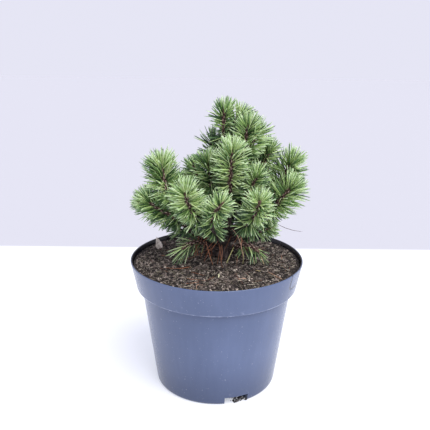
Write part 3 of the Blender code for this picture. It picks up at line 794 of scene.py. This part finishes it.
old_bark = bark_finish(
    "limb_bark",
    (0.25, (0.010, 0.007, 0.007)),
    (0.55, (0.040, 0.028, 0.026)),
    (0.80, (0.120, 0.092, 0.080)),
)
limbs = []
for stem in stems.values():
    distances = np.linspace(0, stem.bare, max(int(stem.bare / BARK_STEP), 12))
    scales, depth = TRUNK_SCALES if stem.carrier is None else LIMB_SCALES
    radii = stem.radius(distances)
    limbs.append(scaly_tube(stem.path, distances, radii, compass(20.0), 26, scales, depth))
places, faces, chart = joined(limbs)
limb_piece = new_piece("trunk_and_limbs", places, faces, old_bark, chart)
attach(limb_piece, "root")
branches = [stem for stem in stems.values() if stem.carrier]
wood = [("bough_" if stem.carrier == "top" else "limb_") + stem.key for stem in branches]
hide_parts("trunk", *wood)

# Shoots: the outer, needled length of each branch, up to its bud. The bark is dark brown, rough with
# the stubs that carry the needles. A resting bud of overlapping scales ends each shoot, with three
# smaller ones round it.
TWIG_FROM = 0.30
TWIG_OUT, TWIG_UP = 21, 16
BUD_RADIUS = 0.0022
BUD_SIZE = (0.0062, 0.0021)
BUD_SUNK = 0.0008
SMALL_BUD_SIZE = (0.0040, 0.0013)
SMALL_BUD_SUNK = 0.0015
SMALL_BUD_OUT = 0.0012
STALK_STEP = 0.00055
STUB_DEPTH = 0.0012
BUD_SEED = 5


def side_twig(stem):
    """The path of a shoot's second head, which leaves it low and turns up beside it: it starts TWIG_OUT
    degrees further out than its lean, and ends TWIG_UP degrees further up."""
    bearing, lean, share = stem.side
    start = stem.path.at(stem.bare + TWIG_FROM * stem.needled)
    end = start + leaning(bearing, lean) * share * stem.needled
    return Path(start, leaning(bearing, lean + TWIG_OUT), end, leaning(bearing, lean - TWIG_UP))


shoots = []
for stem in stems.values():
    shoots.append((stem, stem.path, stem.bare, stem.path.length))
    if stem.side is not None:
        twig = side_twig(stem)
        shoots.append((stem, twig, 0.0, twig.length))


def bud(place, way, towards, length, thick):
    """An egg-shaped bud: its radius is the thickness times a sine that peaks low, and its scales are a
    relief of crossing spirals, in rings of sixteen."""
    way = unit(way)
    path = Path(place, way, place + way * length, way)
    distances = np.linspace(0, length, 14)
    share = distances / length
    radii = thick * np.sin(np.pi * np.clip(0.18 + 0.80 * share, 0, 1)) ** 0.8 + 0.00008
    return scaly_tube(path, distances, radii, towards, 16, 5, thick * 0.18)


young_bark = bark_finish(
    "shoot_bark",
    (0.22, (0.010, 0.007, 0.008)),
    (0.46, (0.040, 0.021, 0.017)),
    (0.63, (0.150, 0.085, 0.063)),
    (0.80, (0.560, 0.430, 0.380)),
)
bud_scales = bark_finish(
    "bud_scales",
    (0.20, (0.028, 0.015, 0.012)),
    (0.55, (0.100, 0.058, 0.042)),
    (0.85, (0.330, 0.250, 0.200)),
)
stalks, buds = [], []
chance = np.random.default_rng(BUD_SEED)
for stem, path, start, end in shoots:
    distances = np.linspace(start, end, int((end - start) / STALK_STEP))
    share = (distances - start) / (end - start)
    radii = STEM_RADIUS + (BUD_RADIUS - STEM_RADIUS) * share + 0.0002
    stalks.append(scaly_tube(path, distances, radii, stem.parting, 22, 6, STUB_DEPTH))
    heading = path.heading(end)
    buds.append(bud(path.at(end - BUD_SUNK), heading, stem.parting, *BUD_SIZE))
    for turn in chance.uniform(0, 2 * np.pi) + np.arange(3) * 2 * np.pi / 3:
        around = math.cos(turn) * stem.parting + math.sin(turn) * np.cross(heading, stem.parting)
        around = unit(around - heading * (around @ heading))
        place = path.at(end - SMALL_BUD_SUNK) + around * SMALL_BUD_OUT
        buds.append(bud(place, heading + around * 0.8, stem.parting + 0.01, *SMALL_BUD_SIZE))
tuft_names = ["tuft_" + key for key in stems]
for name, parts, finish in (("shoot_stalks", stalks, young_bark), ("shoot_buds", buds, bud_scales)):
    places, faces, chart = joined(parts)
    piece = new_piece(name, places, faces, finish, chart)
    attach(piece, "root")
    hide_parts(*tuft_names)

# Needles: in pairs, each pair from one short brown sheath, on a spiral round the shoot by the golden
# turn. Stiff, slightly curved, flat on one side and mid green. The outer half is paler, partly with a
# real bloom and partly with a painted highlight; the foot is darker with painted shade, and the point
# is yellowish. Those on the lowest, drooping twigs are thinner.
NEEDLE_LENGTH = 0.0300
NEEDLE_WIDTH = 0.00150
THIN_WIDTH = 0.00125
GOLDEN_TURN = 137.5
FIRST_PAIR = 0.03
CROWD_FROM = 0.93
DOME = (3, 52)
PAIR_ANGLES = (4, 16)
ROOT_RADIUS = 0.0012
UNDER_LOSS = 0.45
NEEDLE_SEED = 11
RINGS = np.array((0.0, 0.12, 0.34, 0.64, 0.90))
RING_WIDTHS = np.array((0.60, 0.88, 1.00, 0.94, 0.70))
RING_CORNERS = ((-1.0, -0.42), (1.0, -0.42), (0.0, 0.62))
EDGE_ROOM = 0.0012

# The degrees kept clear to each side of the parting, and the share of pairs that ignore it: this at the
# foot, and this much less at the bud.
PARTED = 32.0
STRAY = 0.40
STRAY_LOSS = 0.34

# A pair's length, as a share of NEEDLE_LENGTH, at these shares of the way from foot to bud. Then the
# ranges of chance: in any pair's length, a crowded pair's, one needle's length, and its width.
LENGTH_PLACES = (0, 0.4, 0.8, 1)
LENGTH_SHARES = (0.78, 0.98, 1.0, 0.92)
PAIR_LENGTH = (0.80, 1.07)
CROWD_LENGTH = (0.78, 0.92)
ONE_LENGTH = (0.92, 1.0)
ONE_WIDTH = (0.86, 1.12)

# Shades: what pairs at the foot lose, as painted shade for the inside of the crown, what all gain,
# what the crowd gains, how much one pair may differ from the next one, and one needle from its pair.
FOOT_PAINTED_SHADE = 0.18
PALER = 0.04
CROWD_PALER = 0.08
PAIR_NOISE = 0.14
NEEDLE_NOISE = 0.36

# By kind of growth: millimetres from pair to pair, degrees from the stem at its foot and at its bud, how
# far one pair may differ from that, share of pairs crowded round the bud, what is added to the shade, and
# how far they droop.
GROWTHS = {
    "new": (0.28, 80, 34, 24, 0.15, 0.03, 0.0),
    "full": (0.19, 80, 34, 26, 0.15, 0.03, 0.0),
    # The old needles' loss of shade is painted shade for the inside of the crown.
    "old": (0.60, 100, 84, 18, 0.0, -0.32, 0.0),
    "sparse": (0.50, 80, 30, 24, 0.18, 0.0, 0.0),
    "low": (1.70, 56, 20, 18, 0.15, 0.22, 0.22),
    "thin": (2.40, 85, 48, 26, 0.10, 0.02, 0.60),
}

# Shoots that aren't of the new kind.
OWN_GROWTH = {
    "left": "full",
    "left_high": "full",
    "upper_left": "sparse",
    "low_left": "low",
    "low_back": "low",
    "low_right": "thin",
}

# Old needles are kept from this share of the bare length on, or as here where a shoot has shed more.
OLD_FROM = 0.58
OWN_OLD_FROM = {"left": 0.90, "right": 0.88, "right_high": 0.90}

# Needles are shorter, or longer, than the rest on these shoots, by these shares at foot and bud.
OWN_LENGTH = {
    "front": (0.70, 0.78),
    "front_right": (0.82, 0.90),
    "top": (0.36, 0.98),
    "upper_left": (0.88, 0.95),
    "middle_right": (0.80, 0.86),
    "right_low": (0.74, 0.74),
    "right_back": (0.92, 0.92),
    "low_left": (1.25, 1.25),
    "low_right": (0.95, 1.00),
    "low_back": (0.80, 0.80),
    "left_high": (1.08, 1.14),
    "left": (1.05, 1.07),
    "right": (1.06, 1.12),
    "right_high": (1.05, 1.22),
    "left_back": (1.00, 0.72),
}


def needles(roots, ways, bends, ridges, lengths, widths, shades):
    """Joined needles. Each follows root + way * length * t + bend * length * t squared, for t from 0 to
    1. Round it stand five rings of three corners: two at the edges of its flat side, and one on the
    ridge that its ridge vector points to. It ends in a point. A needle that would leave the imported
    model's box is shortened."""
    reaches = lengths[:, None] * (ways + bends)
    room = np.where(reaches > 0, np.array(cad_high) - roots, roots - np.array(cad_low)) - EDGE_ROOM
    lengths = lengths * np.minimum(1, (room / np.maximum(np.abs(reaches), 1e-6)).min(1))
    t = RINGS[None, :, None]
    middle = roots[:, None] + lengths[:, None, None] * (ways[:, None] * t + bends[:, None] * t**2)
    across = unit(np.cross(ways, ridges))
    half = 0.5 * widths[:, None, None] * RING_WIDTHS[None, :, None]
    corners = []
    for side, lift in RING_CORNERS:
        corners.append(middle + half * (side * across[:, None] + lift * ridges[:, None]))
    rings = np.stack(corners, 2)
    points = roots + lengths[:, None] * (ways + bends)
    count = len(roots)
    places = np.concatenate([rings.reshape(count, 15, 3), points[:, None]], 1)
    first = 16 * np.arange(count)[:, None, None]
    sides = (net_faces(5, 3) + first).reshape(-1, 4)
    ends = (np.array([(12, 13, 15), (13, 14, 15), (14, 12, 15), (2, 1, 0)]) + first).reshape(-1, 3)
    v = np.concatenate([np.repeat(RINGS, 3), [1.0]])
    u = np.concatenate([np.tile((0.0, 0.010, 0.005), 5), [0.005]])
    chart = np.stack([shades[:, None] * 0.98 + u, np.broadcast_to(v, (count, 16))], -1)
    return places.reshape(-1, 3), [sides, ends], chart.reshape(-1, 2)


def needle_pairs(stem, path, start, end, kind, chance):
    """The pairs of one stretch of stem. They close towards the bud with the share of the way to it, and
    most of those near the parting are combed to its two sides, more of them towards the bud. The crowd
    round the bud stands at any of the dome's angles, which rounds the tuft. Needles that point down are
    shorter near the foot, where they have no light, and those at the foot are given the deepest green as
    painted shade. The needles of a drooping twig don't stand up from it."""
    step, foot_open, bud_open, spread, crowd, tone, droop = GROWTHS[kind]
    count = int((end - start) * 1000 / step)
    share = (np.arange(count) + chance.uniform(0.2, 0.8, count)) / count
    crowded = chance.uniform(0, 1, count) < crowd
    share = np.where(crowded, chance.uniform(CROWD_FROM, 1, count), share)
    distances = start + (end - start) * (FIRST_PAIR + (1 - FIRST_PAIR) * share)
    along, first, second = frames(path, distances, stem.parting)
    turn = (np.arange(count) * GOLDEN_TURN + chance.uniform(-16, 16, count) + 180) % 360 - 180
    parted = np.sign(turn) * (PARTED + (1 - PARTED / 180) * np.abs(turn))
    stray = chance.uniform(0, 1, count) < STRAY - STRAY_LOSS * share
    turn = np.radians(np.where(stray, turn, parted))
    side = np.cos(turn)[:, None] * first + np.sin(turn)[:, None] * second
    opening = foot_open + (bud_open - foot_open) * share**1.8 + spread * chance.normal(0, 0.6, count)
    opening = np.radians(np.where(crowded, chance.uniform(*DOME, count), opening))
    if droop > 0:
        side = side * np.where(side > 0, (1, 1, 0.3), 1)
    way = along * np.cos(opening)[:, None] + side * np.sin(opening)[:, None]
    way = unit(way + (0, 0, -droop))
    length = NEEDLE_LENGTH * np.interp(share, LENGTH_PLACES, LENGTH_SHARES)
    length = length * np.interp(share, (0, 1), OWN_LENGTH.get(stem.key, (1, 1)))
    length = length * (1 - UNDER_LOSS * (1 - share) * np.clip(-way[:, 2], 0, 1))
    length = length * chance.uniform(*PAIR_LENGTH, count)
    length = np.where(crowded, length * chance.uniform(*CROWD_LENGTH, count), length)
    root = path.at(distances) + side * ROOT_RADIUS
    level = np.cross(along, way)
    tilt = chance.uniform(-1.2, 1.2, count)[:, None]
    spread_way = unit(unit(level) * np.cos(tilt) + unit(np.cross(way, level)) * np.sin(tilt))
    shade = stem.shade + tone + chance.normal(0, PAIR_NOISE, count)
    shade = shade - FOOT_PAINTED_SHADE * (1 - share) + PALER + CROWD_PALER * crowded
    made = []
    for hand in (-1, 1):
        half_angle = np.radians(chance.uniform(*PAIR_ANGLES, count))[:, None] * hand
        needle_way = unit(way * np.cos(half_angle) + spread_way * np.sin(half_angle))
        bend = along * chance.uniform(-0.04, 0.08, count)[:, None] - spread_way * hand * 0.04
        bend = bend - way * 0.04
        ridge = unit(-spread_way * hand + along * 0.15)
        ridge = unit(ridge - needle_way * (ridge * needle_way).sum(1, keepdims=True))
        width = (NEEDLE_WIDTH if droop == 0 else THIN_WIDTH) * chance.uniform(*ONE_WIDTH, count)
        one_shade = np.clip(shade + chance.normal(0, NEEDLE_NOISE, count), 0.01, 0.99)
        one_length = length * chance.uniform(*ONE_LENGTH, count)
        made.append((root, needle_way, bend, ridge, one_length, width, one_shade))
    return [np.concatenate(kind) for kind in zip(*made)]


def needle_finish():
    """Each needle's shade picks its green. Along it, the sheath is brown, then the green, darkened with
    painted shade at the foot of the deep ones, paler towards the end with bloom and a painted highlight,
    most on the light ones, and the point is yellowish."""
    leaf = Finish("green_needles", Roughness=0.44, Specular_IOR_Level=0.45)
    shade, along = leaf.chart(0), leaf.chart(1)
    green = leaf.ramp(
        shade,
        (0.00, (0.023, 0.063, 0.022)),
        (0.30, (0.090, 0.194, 0.064)),
        (0.55, (0.244, 0.396, 0.117)),
        (0.80, (0.428, 0.598, 0.208)),
        (1.00, (0.620, 0.756, 0.360)),
    )
    # Painted shade: the foot of the deeper needles is darkened.
    deep = (1 - leaf.ease(along, 0.10, 0.62)) * (1 - leaf.ease(shade, 0.35, 1.0))
    green = leaf.mixed(deep * 0.62, green, (0.029, 0.076, 0.020))
    # The pale end: partly the needles' bloom, partly a painted highlight.
    bloom_and_painted_highlight = leaf.ease(along, 0.50, 0.95) * (0.10 + leaf.ease(shade, 0.48, 1.0) * 0.50)
    green = leaf.mixed(bloom_and_painted_highlight, green, (0.600, 0.770, 0.580))
    sheath = leaf.ramp(
        shade,
        (0.25, (0.034, 0.020, 0.017)),
        (0.60, (0.110, 0.068, 0.055)),
        (0.90, (0.460, 0.370, 0.330)),
    )
    color = leaf.mixed(leaf.ease(along, 0.07, 0.15), sheath, green)
    return leaf.paint(leaf.mixed(leaf.ease(along, 0.955, 0.995), color, (0.480, 0.400, 0.160)))


green = needle_finish()
chance = np.random.default_rng(NEEDLE_SEED)
groups = {"front_left": [], "front_right": [], "back_left": [], "back_right": []}
for stem, path, start, end in shoots:
    tip = path.at(end)
    place = ("front_" if tip[1] < 0.0 else "back_") + ("left" if tip[0] < 0.01 else "right")
    kind = OWN_GROWTH.get(stem.key, "new")
    groups[place].append((stem.key, needle_pairs(stem, path, start, end, kind, chance)))
    if start > 0 and kind in ("new", "full"):
        shed = OWN_OLD_FROM.get(stem.key, OLD_FROM) * start
        groups[place].append((stem.key, needle_pairs(stem, path, shed, start, "old", chance)))
for place, grown in groups.items():
    rows = [np.concatenate(kind) for kind in zip(*[pairs for key, pairs in grown])]
    places, faces, chart = needles(*rows)
    places[:, 2] = np.maximum(places[:, 2], over_soil(places, 0.0004))
    piece = new_piece("needles_" + place, places, faces, green, chart)
    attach(piece, "root")
    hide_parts(*sorted({"tuft_" + key for key, pairs in grown}))

# Litter: old needles, dry and red-brown, which hang caught under the crown or have dropped on the soil,
# with a few stalks and scraps still green.
HANGING = 28
HANGING_WIDTH = 0.0010
HANGING_LENGTH = (0.018, 0.031)
HANGING_OUT = (0.012, 0.046)
HANGING_HEIGHT = (0.186, 0.216)
DROPPED = 85
DROPPED_WIDTH = 0.0008
DROPPED_LENGTH = (0.012, 0.028)
LITTER_SEED = 8
STRAW = {"roughness": 0.62, "specular": 0.35}

# Single needles and stalks: start, middle and end in millimetres, width, and shade from 0 to 1.
DRAWN = (
    ((-14, -25, 205), (-10, -29, 190), (-4, -31, 172.6), 1.4, 0.72),
    ((19, -30, 224), (29, -34, 210), (34, -38, 186), 2.0, 0.93),
    ((35, -15, 192), (35, -20, 182), (34, -23, 172.4), 1.1, 0.97),
    ((-67, -35, 172.6), (-51, -41.5, 173.6), (-32, -36, 174.6), 1.9, 0.68),
    ((64, -46, 172.6), (73, -57, 172.2), (81.5, -68, 171.4), 1.6, 0.93),
    ((50, -44, 173.6), (53, -46, 173.6), (57, -46, 173.2), 1.6, 0.955),
    ((2, -59, 173.9), (2.6, -65, 173.9), (2, -70, 173.4), 2.2, 1.0),
    ((27, -71.6, 172.9), (32, -71, 173.3), (37, -70, 172.8), 2.4, 0.93),
    ((-23.5, -99, 171.2), (-23, -91, 173.2), (-15, -90.5, 171.8), 0.9, 0.93),
    ((80, -5, 223), (96, -5, 216), (113.6, -5, 213), 1.2, 0.05),
    ((-30, -14, 205), (-27, -22, 196), (-24, -30, 186), 1.0, 0.55),
    ((-6, -20, 198), (-12, -26, 188), (-17, -30, 178), 1.0, 0.45),
    ((6, -22, 200), (7, -28, 190), (6, -33, 179), 1.0, 0.58),
    ((44, -20, 196), (47, -24, 184), (50, -27, 172), 1.2, 0.98),
    ((53, -24, 194), (58, -27, 184), (62, -29, 174), 1.2, 0.96),
    ((22, -22, 197), (17, -30, 188), (12, -36, 178), 1.1, 0.97),
    ((-36, -70, 170.6), (-31, -72, 170.9), (-25, -71, 170.8), 1.0, 0.95),
)


def lying(chance, count, low, high, curl):
    """Roots, ways, bends, ridges and lengths of straws that lie on the soil inside the pot, each a
    length from low to high, tipped a little, and curled sideways by up to this share of its length."""
    length = chance.uniform(low, high, count)
    spots = scattered(chance, count, LOOSE_RADIUS - length / 2)
    spots[:, 2] = over_soil(spots, 0.0005)
    way = compass(chance.uniform(0, 360, count)) + (0, 0, 1) * chance.normal(0, 0.12, count)[:, None]
    across = np.cross(way, (0, 0, 1))
    bend = across * chance.uniform(-curl, curl, count)[:, None]
    ridge = unit(np.cross(across, way))
    return spots - unit(way) * length[:, None] / 2, unit(way), bend, ridge, length


def litter_piece(name, slot, rows, finish, *nodes):
    """One joined piece of straws that never dip under the soil."""
    places, faces, chart = needles(*rows)
    places[:, 2] = np.maximum(places[:, 2], over_soil(places, 0.0002))
    piece = new_piece(name, places, faces, finish, chart)
    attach(piece, "root")
    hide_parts(*nodes)


chance = np.random.default_rng(LITTER_SEED)
ahead = chance.uniform(0, 1, HANGING) < 0.7
bearing = np.where(ahead, chance.normal(-8, 46, HANGING), chance.uniform(0, 360, HANGING))
roots = FOOT + compass(bearing) * chance.uniform(*HANGING_OUT, HANGING)[:, None]
roots[:, 2] = chance.uniform(*HANGING_HEIGHT, HANGING)
out = compass(bearing) * chance.uniform(0.0, 0.8, HANGING)[:, None]
ways = unit(out + (0, 0, -1) + chance.normal(0, 0.42, (HANGING, 3)))
bends = np.tile((0.0, 0.0, -0.15), (HANGING, 1))
ridges = unit(np.cross(ways, chance.normal(0, 1, (HANGING, 3))))
lengths = chance.uniform(*HANGING_LENGTH, HANGING)
shades = chance.uniform(0.0, 1.0, HANGING) ** 1.2 * 0.80
hanging = (roots, ways, bends, ridges, lengths, np.full(HANGING, HANGING_WIDTH), shades)

# The curve through three places: its lead and its bend, from the ways to its middle and to its end.
start, middle, end = (np.array([row[k] for row in DRAWN]) / 1000 for k in range(3))
leads = 4 * (middle - start) - (end - start)
lengths = np.linalg.norm(leads, axis=1)
drawn = (
    start,
    leads / lengths[:, None],
    (2 * (end - start) - 4 * (middle - start)) / lengths[:, None],
    unit(np.cross(leads, (0.3, -1.0, 0.2))),
    lengths,
    np.array([row[3] for row in DRAWN]) / 1000,
    np.array([row[4] for row in DRAWN]),
)
dropped = (
    *lying(chance, DROPPED, *DROPPED_LENGTH, 0.30),
    np.full(DROPPED, DROPPED_WIDTH),
    chance.uniform(0.0, 1.0, DROPPED) ** 2 * 0.7,
)
dry = loose_finish(
    "dry_needles",
    (0.00, (0.050, 0.024, 0.017)),
    (0.50, (0.290, 0.110, 0.052)),
    (0.80, (0.520, 0.235, 0.130)),
    (0.92, (0.640, 0.400, 0.280)),
    (0.955, (0.560, 0.560, 0.220)),
    (1.00, (0.780, 0.760, 0.560)),
    **STRAW,
)
rows = [np.concatenate(kind) for kind in zip(hanging, drawn, dropped)]
low_tufts = ("tuft_low_left", "tuft_low_right", "tuft_low_back")
litter_piece("dry_needles", "needles", rows, dry, "soil", *low_tufts)

# Peat fibres: short threads of moss and root that came with the peat and lie all over it, brown to tan,
# and a few of them still greenish.
FIBRES = 3400
FIBRE_LENGTH = (0.0028, 0.0100)
FIBRE_WIDTH = (0.0004, 0.0010)

fibres = (
    *lying(chance, FIBRES, *FIBRE_LENGTH, 0.60),
    chance.uniform(*FIBRE_WIDTH, FIBRES),
    chance.uniform(0.0, 1.0, FIBRES) ** 0.8,
)
peat_fibre = loose_finish(
    "peat_fibres",
    (0.00, (0.012, 0.010, 0.010)),
    (0.35, (0.068, 0.049, 0.041)),
    (0.55, (0.142, 0.128, 0.085)),
    (0.70, (0.242, 0.193, 0.170)),
    (0.85, (0.320, 0.290, 0.225)),
    (0.95, (0.440, 0.365, 0.325)),
    (1.00, (0.580, 0.540, 0.390)),
    **STRAW,
)
litter_piece("peat_fibres", "soil", fibres, peat_fibre, "soil")

# Bark chips: flat bits of composted bark, mixed into the peat. A few stand out: x, y and size in
# millimetres, and shade from 0 to 1.
CHIPS = 130
CHIP_SIZE = (0.0022, 0.0012, 0.0006)
CHIP_RADIUS = 0.104
NOTED_CHIPS = (
    (-44, -33, 2.0, 1.0),
    (5, -51, 2.0, 0.94),
    (22.5, -48.6, 2.4, 0.96),
    (60, -10, 1.8, 1.0),
    (-67, -35, 2.0, 0.92),
    (40, -76, 1.7, 0.98),
)

spots = scattered(chance, CHIPS, CHIP_RADIUS)
sizes = np.array(CHIP_SIZE) * np.exp(chance.normal(0, 0.32, (CHIPS, 1)))
shades = chance.uniform(0.25, 0.97, CHIPS)
noted = np.array(NOTED_CHIPS)
spots[: len(noted)] = noted[:, :2] @ np.eye(2, 3) / 1000
sizes[: len(noted)] = noted[:, 2:3] * (1, 0.8, 0.6) / 1000
shades[: len(noted)] = noted[:, 3]
spots[:, 2] = over_soil(spots, 0.0008)
chips = lumps(
    "bark_chips",
    spots,
    sizes,
    shades,
    turns(chance.normal(0, 1, (CHIPS, 4)) * (1, 0.15, 0.15, 1)),
    loose_finish(
        "bark_chips",
        (0.20, (0.050, 0.036, 0.030)),
        (0.60, (0.170, 0.125, 0.105)),
        (0.90, (0.360, 0.290, 0.250)),
        (1.00, (0.580, 0.510, 0.430)),
    ),
    0.25,
    chance,
)
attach(chips, "root")
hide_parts("soil")

# Curled leaf: one dead leaf, blown in and caught upright in the soil by the pot's wall. It is dry, thin
# and tan, with fine veins along it.
LEAF_FOOT = np.array((-0.0798, 0.040, 0.1698))
LEAF_LENGTH = 0.0185
LEAF_WIDTH = 0.0095


def leaf_net():
    """Rings along a dry leaf, each a thin lens across it. The leaf is as wide as a sine that peaks low,
    curled to a gutter by the square of the distance across, and bent back by the square of the way up."""
    way = unit(np.array((-0.28, 0.16, 1.0)))
    side = unit(np.cross(way, (0.25, -1.0, 0.0)))
    out = np.cross(way, side)
    share = np.linspace(0.02, 0.98, 16)[:, None]
    turn = np.linspace(0, 2 * np.pi, 16, endpoint=False)[None, :]
    across = 0.5 * LEAF_WIDTH * np.sin(np.pi * share**0.55) * np.cos(turn)
    lift = 0.00018 * np.sin(turn) - across**2 / LEAF_WIDTH + 0.003 * share**2
    ahead = LEAF_LENGTH * np.broadcast_to(share, across.shape)
    return LEAF_FOOT + ahead[..., None] * way + across[..., None] * side + lift[..., None] * out


net = leaf_net()
places, faces = closed_skin(net, net[0].mean(0), net[-1].mean(0))
tan = Finish("dry_leaf", Roughness=0.7, Specular_IOR_Level=0.3)
veins = tan.noise(900, 3, (1, 1, 0.25))
tan_color = tan.ramp(veins, (0.35, (0.540, 0.460, 0.410)), (0.65, (0.900, 0.820, 0.750)))
leaf = new_piece("curled_leaf", places, faces, tan.paint(tan_color, None, veins, 0.0004))
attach(leaf, "root")
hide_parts("soil")

# Floor, light and camera: a plain pale floor, which turns to the wall's pale lavender behind the pot and
# glows a little, so shadows stay faint. A pale sky and one wide soft lamp from the front right light it,
# and the camera is where the photograph was taken from.
FLOOR_REACH = 6
FLOOR_HEIGHT = -0.0001
WALL_FOOT = (0.505, 0.522)
SKY = (0.79, 0.79, 0.91, 1)
LAMP_BEARING = 38
LAMP_HEIGHT = 52
LAMP_WIDTH = 50
LAMP_STRENGTH = 3.5
EYE = (-0.0028, -0.754, 0.461)
EYE_DIP = 16.8
EYE_ROLL = 0.55

floor_mesh = bpy.data.meshes.new("floor")
corners = ((-1, -1), (1, -1), (1, 1), (-1, 1))
corners = [(x * FLOOR_REACH, y * FLOOR_REACH, FLOOR_HEIGHT) for x, y in corners]
floor_mesh.from_pydata(corners, [], [(0, 1, 2, 3)])
floor = new_object("floor", floor_mesh)
paper = Finish("pale_floor", Roughness=0.75, Specular_IOR_Level=0.2, Emission_Strength=1.0)
depth = Level(paper, paper.node("ShaderNodeSeparateXYZ", {}, {0: paper.places()}).outputs[1])
behind = paper.ease(depth, *WALL_FOOT)
glow = paper.mixed(behind, (0.42, 0.435, 0.475), (0.0, 0.0, 0.0))
paper.link(glow, paper.shader.inputs["Emission Color"])
surface = paper.mixed(behind, (0.53, 0.535, 0.555), (0.474, 0.476, 0.521))
floor_mesh.materials.append(paper.paint(surface))

world = bpy.data.worlds.new("studio")
world.use_nodes = True
world.node_tree.nodes["Background"].inputs["Color"].default_value = SKY
world.node_tree.nodes["Background"].inputs["Strength"].default_value = 1.0
bpy.context.scene.world = world

lamp = bpy.data.lights.new("key", "SUN")
lamp.energy = LAMP_STRENGTH
lamp.angle = math.radians(LAMP_WIDTH)
lamp.color = (1.0, 0.985, 0.96)
sun = new_object("key", lamp)
sun.rotation_euler = (math.radians(90 - LAMP_HEIGHT), 0, math.radians(LAMP_BEARING))

lens = bpy.data.cameras.new("camera")
lens.lens = 50
lens.sensor_width = 36
camera = new_object("camera", lens)
camera.matrix_world = (
    Matrix.Translation(EYE)
    @ Matrix.Rotation(math.radians(90 - EYE_DIP), 4, "X")
    @ Matrix.Rotation(math.radians(EYE_ROLL), 4, "Z")
)
bpy.context.scene.camera = camera
bpy.context.scene.view_settings.view_transform = "Standard"
